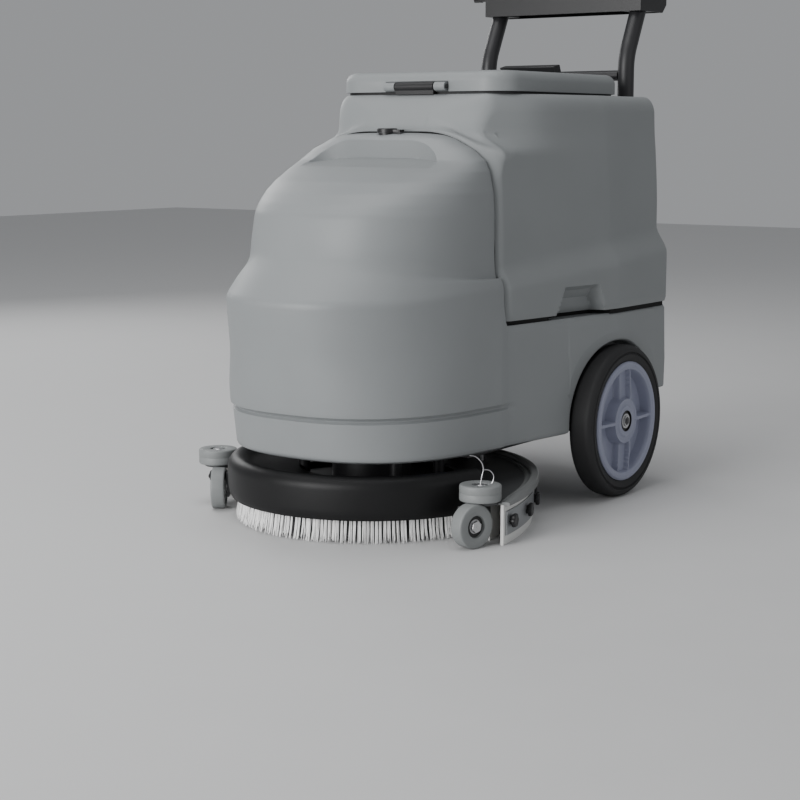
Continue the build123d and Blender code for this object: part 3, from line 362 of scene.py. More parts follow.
faces.append([(len(tank_ring) - 1) * count + j for j in range(count)])
tank_grey = moulded_plastic("Tank grey polyethylene", (0.234, 0.247, 0.251), rough=0.47, grain=0.22)
make_piece("recovery_tank_skin", tank_ring.reshape(-1, 3) * mm + np.array([0, disc_y, 0]), faces, tank_grey,
           "tank", ["recovery_tank"], angle=40, merge=1e-5)

# Painted shade in the gaps: near-black strips shaped like foam seals, one upright in the seam between the two tanks,
# one lying on the base under the recovery tank. They stand in for the shadow in the gaps, sit on the casing and are
# set back from the edge so that only a dark line shows.
seam_shade_black = moulded_plastic("Painted seam shade black", (0.004, 0.004, 0.004), rough=0.95, grain=0.4, spread=0.3)
shade_strip_z = np.r_[np.linspace(304, 505, 24), 505 + 92 * np.sin(np.linspace(0, math.pi / 2, 22)[1:])]
shade_strip_w = np.r_[np.interp(shade_strip_z[:24], [304, 352, 371, 383, 418, 505], [203, 202, 192, 186, 186, 180]),
               50 + 126 * np.cos(np.linspace(0, math.pi / 2, 22)[1:]) ** 0.91]
arch_x = np.r_[-shade_strip_w, shade_strip_w[::-1]]
arch_z = np.r_[shade_strip_z, shade_strip_z[::-1]]
set_back = 2.5


def strip_faces(edges, count):
    """Faces of a strip of several edges, each of count points: four sides all round and a cap at each end."""
    faces = [list(f) for f in grid_faces(edges, count)]
    last = (edges - 1) * count
    faces += [[last + j, last + j + 1, j + 1, j] for j in range(count - 1)]
    faces += [[i * count for i in range(edges)], [i * count + count - 1 for i in range(edges)]]
    return faces


shade_strip_rows = []
for shrink, y_at in ((0, seam - 1), (0, seam + 4.5), (8, seam + 4.5), (8, seam - 1)):
    shade_strip_rows.append(np.column_stack([
        arch_x - np.sign(arch_x) * (set_back + shrink), np.full(len(arch_x), y_at), arch_z - set_back - shrink]))
flat_y = np.linspace(seam + 8, tail - 12, 60)
pulled_in = 26 * soft_step(flat_y, 172, 186) * (1 - soft_step(flat_y, 318, 330))
flat_x = np.minimum(203.5 + 0.139 * (flat_y - seam), 243.5) - set_back - pulled_in
flat_parts = [(np.concatenate(shade_strip_rows), strip_faces(4, len(arch_x)))]
for side in (-1, 1):
    rows_f = []
    for inner, z_at in ((0, 302), (0, 309), (10, 309), (10, 302)):
        rows_f.append(np.column_stack([side * (flat_x - inner), flat_y, np.full(len(flat_y), z_at)]))
    flat_parts.append((np.concatenate(rows_f), strip_faces(4, len(flat_y))))
shade_strip_points, shade_strip_all, start = [], [], 0
for p_s, f_s in flat_parts:
    shade_strip_points.append(p_s)
    shade_strip_all += [[int(i) + start for i in f] for f in f_s]
    start += len(p_s)
make_piece("seam_shade_strips", np.concatenate(shade_strip_points) * mm + np.array([0, disc_y, 0]), shade_strip_all, seam_shade_black,
           "chassis")

# Rear wheels: a solid rubber tyre with a rounded shoulder and a moulding groove, on a blue-grey
# nylon hub with a raised rim, four box spokes and a boss round the bearing.
wheel_y, wheel_z = 351.0, 125.0


def turned(profile, centre, axis, steps=96, closed=True):
    """A closed outline of (radius, along) turned about an axis through centre: one ring per outline point."""
    profile = np.array(profile, float)
    axis = np.array(axis, float) / np.linalg.norm(axis)
    first = np.cross(axis, [0.13, 0.41, 0.9])
    first /= np.linalg.norm(first)
    second = np.cross(axis, first)
    t = np.linspace(0, 2 * math.pi, steps, endpoint=False)
    ring = np.cos(t)[:, None] * first + np.sin(t)[:, None] * second
    pts = np.array(centre, float) + profile[:, 0, None, None] * ring[None] + profile[:, 1, None, None] * axis
    faces = grid_faces(len(profile), steps, 0, wrap=True)
    if closed:
        a = (len(profile) - 1) * steps + np.arange(steps)
        b = (len(profile) - 1) * steps + (np.arange(steps) + 1) % steps
        faces = np.concatenate([faces, np.stack([a, b, (np.arange(steps) + 1) % steps, np.arange(steps)], -1)])
    return pts.reshape(-1, 3), faces


def gather(parts):
    """Several (points, faces) joined into one pair of arrays or lists."""
    points, faces, start = [], [], 0
    for p, f in parts:
        points.append(np.asarray(p, float))
        faces.extend([[int(i) + start for i in face] for face in f])
        start += len(p)
    return np.concatenate(points), faces


def placed(points):
    """Millimetres about the brush's centre turned into metres in the frame."""
    return np.asarray(points, float) * mm + np.array([0, disc_y, 0])


def arc(cx, cy, r, start, end, n=8):
    """n + 1 points of a circle of radius r round (cx, cy), between two angles in degrees."""
    t = np.radians(np.linspace(start, end, n + 1))
    return [(cx + r * math.cos(a), cy + r * math.sin(a)) for a in t]


tyre_rubber = moulded_plastic("Tyre rubber", (0.012, 0.012, 0.013), rough=0.62, grain=0.5, spread=0.25, scale=700.0)
hub_nylon = moulded_plastic("Hub nylon", (0.29, 0.305, 0.40), rough=0.42, grain=0.18, spread=0.08)
wheel_steel = moulded_plastic("Zinc plated steel", (0.55, 0.55, 0.56), rough=0.3, grain=0.1, spread=0.1)
wheel_steel.node_tree.nodes["Principled BSDF"].inputs["Metallic"].default_value = 1.0
tyre_outline = (
    [(98, 223), (98, 259), (101, 260.5), (106, 262), (109.5, 262.4), (110.5, 260.6), (112.5, 260.2), (113.8, 262.2)]
    + arc(113.5, 251.5, 11.3, 70, 0, 7) + [(125, 248), (125, 236)] + arc(113.5, 232, 11.3, 0, -88, 7)
    + [(106, 220.8), (101, 221.2)]
)
spoke_angles = np.linspace(0, 2 * math.pi, 361)[:-1]
hub_radii = np.concatenate([np.linspace(17.5, 40, 20), np.linspace(41, 80, 34), np.linspace(81, 98, 18)])


def hub_face(side):
    """Outer face of the hub over radius and angle: base depth plus soft-edged rim, boss and four spokes."""
    rr, tt = np.meshgrid(hub_radii, spoke_angles, indexing="ij")
    yy, zz = rr * np.cos(tt), rr * np.sin(tt)
    rim = soft_step(rr, 82, 85.5)
    boss = 1 - soft_step(rr, 36, 40)
    # two upright ribs are wide boxes, the two level ones thin blades
    upright_rib = (1 - soft_step(np.abs(yy), 11.0, 14.0)) * 0.93
    blade_rib = 1 - soft_step(np.abs(zz), 2.6, 4.2)
    spoke = np.maximum(np.maximum(upright_rib * 0.62, blade_rib), 1 - soft_step(np.abs(yy - 12), 1.8, 3.2))
    raised = np.maximum(np.maximum(rim, boss), spoke * (1 - 0.12 * soft_step(rr, 40, 80)))
    depth = 242 + 20.0 * raised
    depth = depth + 1.6 * soft_step(rr, 88, 90) * (1 - soft_step(rr, 95, 97)) - 1.4 * soft_step(rr, 96, 98)
    depth = depth - 2.2 * boss * soft_step(rr, 25, 26.5) * (1 - soft_step(rr, 33, 37)) - 1.2 * boss
    outer = np.stack([side * depth, wheel_y + yy, wheel_z + zz], -1)
    inner_depth = 236 - 12.5 * np.maximum(np.maximum(rim, boss), spoke)
    inner = np.stack([side * inner_depth, wheel_y + yy, wheel_z + zz], -1)
    n = len(spoke_angles)
    stack = np.concatenate([outer, inner[::-1]])
    faces = grid_faces(len(stack), n, 0, wrap=True)
    a = (len(stack) - 1) * n + np.arange(n)
    b = (len(stack) - 1) * n + (np.arange(n) + 1) % n
    faces = np.concatenate([faces, np.stack([a, b, (np.arange(n) + 1) % n, np.arange(n)], -1)])
    return stack.reshape(-1, 3), faces


for side, hand in ((-1, "left"), (1, "right")):
    pts, faces = turned(tyre_outline, (0, wheel_y, wheel_z), (side, 0, 0), 128)
    make_piece(f"rubber_tyre_{hand}", placed(pts), faces, tyre_rubber, f"wheel_{hand}",
               [f"tyre_{hand}"], angle=50)
    pts, faces = hub_face(side)
    make_piece(f"spoked_hub_{hand}", placed(pts), faces, hub_nylon, f"wheel_{hand}",
               [f"hub_{hand}"], angle=50)

# Ball bearings with a black seal, and the plated nut and washer on each stub axle.
bearing_seal = moulded_plastic("Bearing recess_shade rubber", (0.01, 0.01, 0.011), rough=0.45, grain=0.2, spread=0.2)
for side, hand in ((-1, "left"), (1, "right")):
    ring = turned([(12.6, 246), (12.6, 258.4), (16.6, 258.4), (16.6, 261.2), (17.4, 261), (17.4, 246)],
                  (0, wheel_y, wheel_z), (side, 0, 0), 64)
    make_piece(f"sealed_bearing_{hand}", placed(ring[0]), ring[1], bearing_seal, f"wheel_{hand}",
               [f"bearing_{hand}"], angle=30)
    race = turned([(8.6, 246), (8.6, 259.4), (9.2, 260.2), (12, 260.2), (12.5, 259.6), (12.5, 246)],
                  (0, wheel_y, wheel_z), (side, 0, 0), 64)
    make_piece(f"bearing_race_{hand}", placed(race[0]), race[1], wheel_steel, f"wheel_{hand}", angle=30)


def hex_head(centre, axis, flat, height, chamfer=0.8, bore=0.0):
    """Six-sided head: radius times 1 / cos of the angle from the nearest flat, with a chamfered top."""
    axis = np.array(axis, float) / np.linalg.norm(axis)
    first = np.cross(axis, [0.1, 0.2, 0.97])
    first /= np.linalg.norm(first)
    second = np.cross(axis, first)
    t = np.linspace(0, 2 * math.pi, 49)[:-1]
    to_flat = (t + math.pi / 6) % (math.pi / 3) - math.pi / 6
    radius = flat / np.cos(to_flat)
    shrunk = np.minimum(radius, flat * 1.05)
    rings = [(radius * 0 + bore, 0.0), (radius, 0.0), (radius, height - chamfer), (shrunk - chamfer * 0.5, height),
             (radius * 0 + bore + 1.5, height), (radius * 0 + bore, height - 1.0)]
    ring = np.cos(t)[:, None] * first + np.sin(t)[:, None] * second
    pts = np.concatenate([np.array(centre, float) + r[:, None] * ring + h * axis for r, h in rings])
    faces = grid_faces(len(rings), len(t), 0, wrap=True)
    return pts, faces


nuts = []
for side in (-1, 1):
    nuts.append(hex_head((side * 257.6, wheel_y, wheel_z), (side, 0, 0), 6.2, 5.2))
    washer = [(0, 256.5), (8.3, 256.5), (8.3, 257.8), (0, 257.8)]
    nuts.append(turned(washer, (0, wheel_y, wheel_z), (side, 0, 0), 48, closed=False))
    axle_end = [(0, 260), (3.6, 260), (3.6, 263.6), (3.0, 264.4), (0, 264.4)]
    nuts.append(turned(axle_end, (0, wheel_y, wheel_z), (side, 0, 0), 32, closed=False))
pts, faces = gather(nuts)
dark_steel = moulded_plastic("Blackened steel", (0.06, 0.06, 0.065), rough=0.38, grain=0.15, spread=0.2)
make_piece("axle_nut_and_washer", placed(pts), faces, dark_steel, "chassis", ["axle_nuts"], angle=30)

# Brush deck: a black glass-filled hood over the front half of the brush, with a rolled top edge.
hood_black = moulded_plastic(
    "Hood black nylon", (0.0065, 0.0065, 0.007), rough=0.46, grain=0.35, spread=0.3, scale=500.0)
hood_black.node_tree.nodes["Principled BSDF"].inputs["Specular IOR Level"].default_value = 0.28
hood_outline = (
    [(217, 36), (219.5, 36), (222.5, 42), (224, 52), (224.6, 80)] + arc(207, 82, 17.6, 0, 90, 10)
    + [(202, 99.2), (197, 96), (192, 88.5), (184, 85), (150, 81), (112, 78.5), (112, 74.5), (150, 76.5), (186, 80.5)]
    + [(196, 86), (203, 95)] + arc(207, 82, 13.5, 90, 0, 6) + [(220.5, 56), (217, 50)]
)
sweep = np.radians(np.linspace(185.6, 354.4, 130))
outline = np.array(hood_outline)
hood_pts = np.stack([
    outline[:, :1] * np.cos(sweep)[None], outline[:, :1] * np.sin(sweep)[None],
    np.repeat(outline[:, 1:], len(sweep), 1)], -1)
make_piece("brush_hood", placed(hood_pts.reshape(-1, 3)), strip_faces(len(outline), len(sweep)), hood_black,
           "chassis", ["deck_hood"], angle=42)

# Disc brush: white nylon bristles in the outer rows and near-black bristles further in, whose dark colour is painted
# shade for the deep shadow under the hood, stapled in tufts into a black block, with uneven tips.
rng = np.random.default_rng(11)
bristle_white = moulded_plastic("White nylon bristle with painted glow", (0.93, 0.93, 0.92), rough=0.5, grain=0.1, spread=0.05)
bristle_glow_shader = bristle_white.node_tree.nodes["Principled BSDF"]
# painted light: a faint white glow makes the bristles brighter than the lamps alone would
bristle_glow_shader.inputs["Emission Color"].default_value = (1, 1, 1, 1)
bristle_glow_shader.inputs["Emission Strength"].default_value = 0.1
outer_ring = 204
tufts = []
for radius, number, spread, filaments in (
        (outer_ring, 205, 9.5, 6), (196, 150, 6.0, 4), (180, 60, 7.0, 4), (150, 40, 5.0, 4), (120, 30, 3.0, 4)):
    angles = (np.arange(number) + 0.5) / number * 2 * math.pi + rng.normal(0, 0.005, number)
    for k in range(filaments):
        place_in_tuft = ((k + 0.5) / filaments - 0.5) * 2 * math.pi / number * 0.56
        a = angles + place_in_tuft + rng.normal(0, 0.0014, number)
        r0 = radius + rng.normal(0, 1.2, number)
        r1 = radius + spread * rng.uniform(0.35, 0.95, number)
        drift = (a - angles) * 0.1 + rng.normal(0, 0.0016, number)
        tip = rng.uniform(0.0, 1.0, number) ** 2.4 * 9.0
        wide = rng.uniform(0.55, 0.95, number)
        tufts.append(np.stack([a, r0, np.minimum(r1, 213.5), a + drift, tip, wide], -1))
    if radius == outer_ring:
        outer_count = sum(len(t) for t in tufts)
tufts = np.concatenate(tufts)
a0, r0, r1, a1, tip, wide = tufts.T
corner_t = np.array([0, 2 * math.pi / 3, 4 * math.pi / 3])
levels = []
for share, girth in ((0.0, 1.0), (0.6, 1.0), (1.0, 0.45)):
    ang = a0 + (a1 - a0) * share
    rad = r0 + (r1 - r0) * share ** 1.4
    zz = 36 + (tip - 36) * share
    tang = np.cos(corner_t)[None] * (wide * girth)[:, None]
    radial = np.sin(corner_t)[None] * (wide * girth * 0.6)[:, None]
    px = (rad[:, None] + radial) * np.cos(ang)[:, None] - tang * np.sin(ang)[:, None]
    py = (rad[:, None] + radial) * np.sin(ang)[:, None] + tang * np.cos(ang)[:, None]
    levels.append(np.stack([px, py, np.repeat(zz[:, None], 3, 1)], -1))
strands = np.stack(levels, 1).reshape(-1, 3)
one = np.array([[0, 1, 4, 3], [1, 2, 5, 4], [2, 0, 3, 5], [3, 4, 7, 6], [4, 5, 8, 7], [5, 3, 6, 8]])
ends = np.array([[0, 2, 1], [6, 7, 8]])
first = np.arange(len(tufts))[:, None, None] * 9
strand_faces = list((first + one[None]).reshape(-1, 4)) + list((first + ends[None]).reshape(-1, 3))
inner_start = outer_count * 9
outer_faces = [f for f in strand_faces if max(f) < inner_start]
inner_faces = [f - inner_start for f in strand_faces if max(f) >= inner_start]
make_piece("bristle_tufts", placed(strands[:inner_start]), outer_faces, bristle_white, "brush",
           ["bristles"], angle=60, merge=1e-7)
# painted shade: the inner rings of bristles are coloured near-black for the shadow under the hood
shaded_inner_bristle = moulded_plastic("Painted shade inner bristle", (0.035, 0.035, 0.037), rough=0.6, grain=0.1, spread=0.2)
make_piece("inner_bristle_tufts", placed(strands[inner_start:]), inner_faces, shaded_inner_bristle, "brush",
           angle=60, merge=1e-7)

# Squeegee: a pressed plate that wraps the rear of the brush, with a rolled outer rim, two rubber
# blades clamped by a steel strip and a row of black thumb knobs.
plate_a, plate_b, plate_y = 302.0, 425.0, -150.0
plate_low, plate_high = 60.0, 64.0
plate_grey = moulded_plastic(
    "Squeegee plate paint", (0.055, 0.057, 0.059), rough=0.42, grain=0.3, spread=0.1, scale=600.0)


def along_rim(count, front, left_front=-34.0):
    """Angles of the elliptical outline from its right front end round the rear to its left front end."""
    start = math.asin((front - plate_y) / plate_b)
    end = math.pi - math.asin((max(front, left_front) - plate_y) / plate_b)
    return np.linspace(start, end, count)


def rim_band(section, front, count=220, taper=0.0):
    """A closed section of (inset, height) carried along the plate's outline; its height can taper at the ends."""
    t = along_rim(count, front)
    ins = np.array(section, float)
    nx, ny = np.cos(t) * plate_b, np.sin(t) * plate_a
    norm = np.hypot(nx, ny)
    px = plate_a * np.cos(t)[None] - ins[:, :1] * (nx / norm)[None]
    py = plate_y + plate_b * np.sin(t)[None] - ins[:, :1] * (ny / norm)[None]
    to_end = np.minimum(np.arange(count), np.arange(count)[::-1]) / count
    swell = 1 - taper * (1 - soft_step(to_end, 0, 0.05))
    pts = np.stack([px, py, plate_low + (ins[:, 1:] - plate_low) * swell[None]], -1)
    return pts.reshape(-1, 3), strip_faces(len(ins), count)


rim_section = [
    (0, 60), (0, 69), (1.5, 71.5), (4, 72), (9.5, 72), (11.5, 71), (12.3, 69), (12.6, 66), (14.2, 65.2),
    (15.8, 66), (17, 66.6), (18.5, 66.6), (19.5, 64.4), (22, 64.2), (22, 60)]
rim = rim_band(rim_section, -66, taper=0.6)
t = along_rim(160, -66)
plate_edge = np.stack([(plate_a - 20) * np.cos(t), plate_y + (plate_b - 20) * np.sin(t)], -1)
inner_r = 140.0
plate_in = []
for px, py in plate_edge:
    ang = math.atan2(py, px)
    if py < -18:
        plate_in.append((math.copysign(231.5, px), py))
    else:
        plate_in.append((inner_r * math.cos(ang), max(inner_r * math.sin(ang), -18)))
plate_in = np.array(plate_in)
inward = np.linspace(0, 1, 10)
field = plate_edge[None] + (plate_in - plate_edge)[None] * inward[:, None, None]
top = np.concatenate([field, np.full(field.shape[:2] + (1,), plate_high)], -1)
bottom = np.concatenate([field, np.full(field.shape[:2] + (1,), plate_low)], -1)
deck = np.concatenate([top, bottom[::-1]])
deck_faces = strip_faces(deck.shape[0], deck.shape[1])


def rounded_box_loop(half_x, half_y, radius, steps=10):
    """Outline of a rectangle with quarter-circle corners, counter-clockwise."""
    turn_t = np.linspace(0, math.pi / 2, steps + 1)
    loop = []
    for k, (sx, sy) in enumerate(((1, 1), (-1, 1), (-1, -1), (1, -1))):
        a = turn_t + k * math.pi / 2
        loop.append(np.stack([
            sx * (half_x - radius) + radius * np.cos(a), sy * (half_y - radius) + radius * np.sin(a)], -1))
    return np.concatenate(loop)


bolt_x, bolt_y = 252.0, -76.0
lobes = []
for side in (-1, 1):
    # ear of the plate that carries the roller's bolt
    ear = rounded_box_loop(26.5, 27, 24, 8)
    ear_rows = [np.column_stack([side * bolt_x + ear[:, 0] * k, -67 + ear[:, 1] * k, np.full(len(ear), h)])
                for h, k in ((60, 0.97), (60.6, 1), (63.4, 1), (64, 0.97))]
    n_ear = len(ear)
    lobes.append((np.concatenate(ear_rows), [list(f) for f in grid_faces(4, n_ear, 0, wrap=True)]
                  + [list(range(n_ear)), [3 * n_ear + j for j in range(n_ear)]]))
pts, faces = gather([(deck.reshape(-1, 3), deck_faces)] + lobes)
make_piece("squeegee_deck", placed(pts), faces, plate_grey, "squeegee", ["squeegee_plate"], angle=30)
rim_grey = moulded_plastic(
    "Squeegee rim paint", (0.17, 0.175, 0.175), rough=0.4, grain=0.3, spread=0.08, scale=600.0)
make_piece("squeegee_rim", placed(rim[0]), rim[1], rim_grey, "squeegee", angle=30)

blade_white = moulded_plastic("Pale blade rubber", (0.72, 0.72, 0.70), rough=0.55, grain=0.15, spread=0.05)
blade = rim_band([(9.6, 60), (9.6, 12), (9.6, 2), (9.9, 0.2), (13.8, 0.2), (14.2, 2), (14.2, 12), (14.2, 60)], -66)
make_piece("rear_wiper", placed(blade[0]), blade[1], blade_white, "squeegee",
           ["rear_blade"], angle=30)
blade = rim_band([(40, 60), (40, 2), (40.4, 0.2), (42.6, 0.2), (43, 2), (43, 60)], -44)
make_piece("front_wiper", placed(blade[0]), blade[1], blade_white, "squeegee",
           ["front_blade"], angle=30)
strip_steel = moulded_plastic("Clamp strip steel", (0.30, 0.31, 0.32), rough=0.36, grain=0.15, spread=0.1)
strip_steel.node_tree.nodes["Principled BSDF"].inputs["Metallic"].default_value = 0.6
strap = rim_band([(9.5, 50), (7.2, 49.6), (6.8, 48.5), (6.8, 15.5), (7.2, 14.4), (9.5, 14)], -59)
make_piece("clamp_strap", placed(strap[0]), strap[1], strip_steel, "squeegee",
           ["clamp_strip"], angle=30)

knob_black = moulded_plastic("Knob black nylon", (0.012, 0.012, 0.013), rough=0.4, grain=0.2, spread=0.3)
knobs = []
for degrees in (14.7, 26, 38, 51, 65, 79, 101, 115, 129, 142, 154, 165.3):
    t = math.radians(degrees)
    spot = np.array([(plate_a - 7) * math.cos(t), plate_y + (plate_b - 7) * math.sin(t), 34.0])
    out = np.array([math.cos(t) * plate_b, math.sin(t) * plate_a, 0.0])
    out /= np.linalg.norm(out)
    outline = [(0, 0), (6.5, 0), (6.5, 2), (9.6, 3), (10.2, 5), (9.6, 8), (7.5, 9), (4.5, 8.4), (0, 8.2)]
    axis_pts, axis_faces = turned(outline, spot, out, 40, closed=False)
    rel = axis_pts - spot
    high = rel[:, 2]
    side_dir = np.cross(out, [0, 0, 1.0])
    flat = rel @ side_dir
    ang = np.arctan2(high, flat)
    radial = rel - (rel @ out)[:, None] * out
    swell = 1 + 0.07 * np.cos(6 * ang)
    rel = (rel @ out)[:, None] * out + radial * swell[:, None]
    knobs.append((spot + rel, axis_faces))
pts, faces = gather(knobs)
make_piece("thumb_knobs", placed(pts), faces, knob_black, "squeegee", ["clamp_knobs"], angle=40)

# Bumper rollers on upright bolts, and the small support wheels on cross bolts, at each front end of the squeegee.
# Grey plastic with a recess round each bolt; a thin black ring on the floor of each wheel's recess is painted shade.
roller_grey = moulded_plastic("Roller grey nylon", (0.225, 0.235, 0.235), rough=0.5, grain=0.25, spread=0.08)
roller_outline = (
    [(5.1, 65), (27, 65)] + arc(28.3, 67.5, 2.5, -90, 0, 4) + [(30.8, 76), (30.3, 77), (30.8, 78)]
    + arc(28.0, 86.2, 2.8, 0, 90, 4) + [(14, 89), (12.4, 88.4), (11.6, 84), (5.1, 84)]
)
caster_outline = (
    [(5.1, -11), (12, -11), (13, -8), (27, -8), (28, -11)] + arc(29.5, -8, 3, -90, 0, 4)
    + arc(29.5, 8, 3, 0, 90, 4) + [(17.8, 11), (16.6, 10.4), (15.8, 5.6), (5.1, 5.6)]
)
recess_shade_black = moulded_plastic("Painted recess shade", (0.012, 0.012, 0.012), rough=0.5, grain=0.2, spread=0.2)
hardware, dark_rings = [], []
caster_z = 32.5
# the left wheel stands closer in than the right one and toes out further
for side, hand, spot_x, spot_y, toe in ((-1, "left", -222.6, -108.2, 35.5), (1, "right", 255.5, -104.0, 14.0)):
    turn_out = math.radians(toe)
    bolt_foot = (side * bolt_x, bolt_y, 0)
    pts, faces = turned(roller_outline, bolt_foot, (0, 0, 1), 72)
    make_piece(f"bumper_{hand}", placed(pts), faces, roller_grey, f"roller_{hand}",
               [f"bumper_roller_{hand}"], angle=35)
    axis = (side * math.cos(turn_out), -math.sin(turn_out), 0)
    hub = np.array([spot_x, spot_y, caster_z])
    pts, faces = turned(caster_outline, hub, axis, 72)
    make_piece(f"support_{hand}_wheel", placed(pts), faces, roller_grey, f"support_{hand}",
               [f"support_wheel_{hand}"], angle=35)
    # painted shade: a black ring laid on the floor of the wheel's recess
    ring = turned([(9, 5.9), (15.4, 5.9), (15.4, 6.6), (9, 6.6)], hub, axis, 48)
    make_piece(f"support_{hand}_recess_shade", placed(ring[0]), ring[1], recess_shade_black, f"support_{hand}",
               angle=35)
    a = np.array(axis)
    hardware.append(hex_head(hub + a * 6.4, a, 8.2, 5.2))
    hardware.append(turned([(0, 6.2), (10.4, 6.2), (10.4, 7.0), (0, 7.0)], hub, a, 40, closed=False))
    hardware.append(turned([(0, -19), (5, -19), (5, 6.4), (0, 6.4)], hub, a, 24, closed=False))
    hardware.append(turned([(0, 64), (5, 64), (5, 84.5), (8.4, 84.5), (8.6, 87), (7, 88.6), (0, 89.2)],
                           bolt_foot, (0, 0, 1), 32, closed=False))
    lift_post = [(0, 64), (6, 64), (6, 125), (5, 126), (0, 126)]
    hardware.append(turned(lift_post, (side * 78, 196, 0), (0, 0, 1), 24, closed=False))


def bent_wire(path, radius, steps=40, sides=8):
    """A round wire along a smooth curve through the given points, closed at both ends."""
    path = np.array(path, float)
    run = np.linspace(0, len(path) - 1, steps)
    k = np.clip(run.astype(int), 0, len(path) - 2)
    f = (run - k)[:, None]
    padded = np.vstack([2 * path[0] - path[1], path, 2 * path[-1] - path[-2]])
    p0, p1, p2, p3 = padded[k], padded[k + 1], padded[k + 2], padded[k + 3]
    line = 0.5 * (2 * p1 + (p2 - p0) * f + (2 * p0 - 5 * p1 + 4 * p2 - p3) * f ** 2
                  + (3 * p1 - p0 - 3 * p2 + p3) * f ** 3)
    along = np.gradient(line, axis=0)
    along /= np.linalg.norm(along, axis=1, keepdims=True)
    first = np.cross(along, [0.57, -0.8, 0.15])
    first /= np.linalg.norm(first, axis=1, keepdims=True)
    second = np.cross(along, first)
    t = np.linspace(0, 2 * math.pi, sides, endpoint=False)
    ring = np.cos(t)[None, :, None] * first[:, None] + np.sin(t)[None, :, None] * second[:, None]
    pts = line[:, None] + radius * ring
    faces = [list(q) for q in grid_faces(steps, sides, 0, wrap=True)]
    faces += [list(range(sides)), [(steps - 1) * sides + i for i in range(sides)]]
    return pts.reshape(-1, 3), faces


# wire lanyard that keeps the roller's clip, looped up from the bolt
wire_foot = np.array([bolt_x, bolt_y, 88.0])
wire_side = np.array([0.814, 0.58, 0.0])
for loop in (
        [(0, 0), (2, 12), (4, 23), (1, 33), (-7, 41), (-16, 43)], [(4, 22), (13, 21), (19, 13), (17, 3), (11, 0)]):
    hardware.append(bent_wire([wire_foot + wire_side * dx + np.array([0, 0, dz]) for dx, dz in loop], 0.7))
pts, faces = gather(hardware)
make_piece("bolts_and_posts", placed(pts), faces, wheel_steel, "squeegee", ["plate_hardware"], angle=30)

# Lid, console, welded frame and other plain mouldings and weldments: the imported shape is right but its
# corners are sharp, so each is copied, merged and given the eased edges of a moulding or a ground weld.


def ease_edges(node, name, material, body, width=0.0012, segments=2):
    """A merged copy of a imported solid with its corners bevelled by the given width."""
    mesh = bpy.data.meshes.new(name)
    shape = bmesh.new()
    shape.from_mesh(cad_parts[node].data)
    bmesh.ops.remove_doubles(shape, verts=shape.verts, dist=1e-6)
    bmesh.ops.dissolve_limit(shape, angle_limit=math.radians(1.0), verts=shape.verts, edges=shape.edges)
    bmesh.ops.recalc_face_normals(shape, faces=shape.faces)
    shape.to_mesh(mesh)
    shape.free()
    mesh.polygons.foreach_set("use_smooth", [True] * len(mesh.polygons))
    mesh.set_sharp_from_angle(angle=math.radians(35))
    piece = bpy.data.objects.new(name, mesh)
    bpy.context.scene.collection.objects.link(piece)
    mesh.materials.append(material)
    bevel = piece.modifiers.new("eased corners", "BEVEL")
    bevel.width = width
    bevel.segments = segments
    bevel.limit_method = "ANGLE"
    bevel.angle_limit = math.radians(35)
    bevel.harden_normals = False
    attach(piece, body)
    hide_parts(node)


steel_tube = moulded_plastic(
    "Black powder coat", (0.018, 0.018, 0.02), rough=0.42, grain=0.35, spread=0.2, scale=450.0)
for node, name, material, body, slot, width in (
    ("tank_lid", "lid_panel", tank_grey, "lid", "grey_tank", 0.0015),
    ("lid_handle", "lid_grip", knob_black, "lid", "black_plastic", 0.0015),
    ("console", "console_housing", knob_black, "chassis", "black_plastic", 0.003),
    ("chassis_frame", "welded_frame", steel_tube, "chassis", "dark_painted", 0.001),
    ("filler_cap", "screw_cap", knob_black, "filler_lid", "black_plastic", 0.0006),
    ("bail_lever", "bail_bar", knob_black, "bail", "black_plastic", 0.0015),
    ("wheel_brackets", "caster_brackets", plate_grey, "squeegee", "plate_grey", 0.0008),
    ("batteries", "battery_blocks", knob_black, "chassis", "battery_black", 0.002),
):
    ease_edges(node, name, material, body, width)

# Intake strainer inside the recovery tank: a slotted white nylon basket that hangs under the roof
# and keeps litter out of the vacuum motor. It is clipped on, so that it can be rinsed.
strainer_low, strainer_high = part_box("intake_filter")
strainer_mid = (strainer_low + strainer_high) / 2
strainer_white = moulded_plastic("Strainer nylon", (0.6, 0.61, 0.62), rough=0.4)
strainer_t = np.linspace(0, 2 * math.pi, 96, endpoint=False)
strainer_n, strainer_tall, slot_deep = len(strainer_t), 52, 0.7
strainer_x, strainer_y = strainer_mid.x / mm, (strainer_mid.y - disc_y) / mm + 4
strainer_outline = (        # share of the height, radius
    (0, 0.2), (0, 16), (0.06, 17), (0.10, 17), (0.12, 16.4), (0.86, 16.4), (0.88, 18), (1, 18), (1, 15), (0.1, 15),
    (0.06, 0.2))
strainer_rows = []
for share, radius in strainer_outline:
    ribbed = radius - (slot_deep * (np.cos(24 * strainer_t) > 0) if 0.11 < share < 0.87 else 0)
    strainer_rows.append(np.column_stack([
        strainer_x + ribbed * np.cos(strainer_t), strainer_y + ribbed * np.sin(strainer_t),
        np.full(strainer_n, strainer_low.z / mm + share * strainer_tall)]))
strainer_faces = [list(f) for f in grid_faces(len(strainer_rows), strainer_n, 0, wrap=True)]
last = (len(strainer_rows) - 1) * strainer_n
strainer_faces += [list(range(strainer_n)), [last + j for j in range(strainer_n)]]
make_piece("intake_strainer", placed(np.concatenate(strainer_rows)), strainer_faces, strainer_white, "tank",
           ["intake_filter"], angle=40)

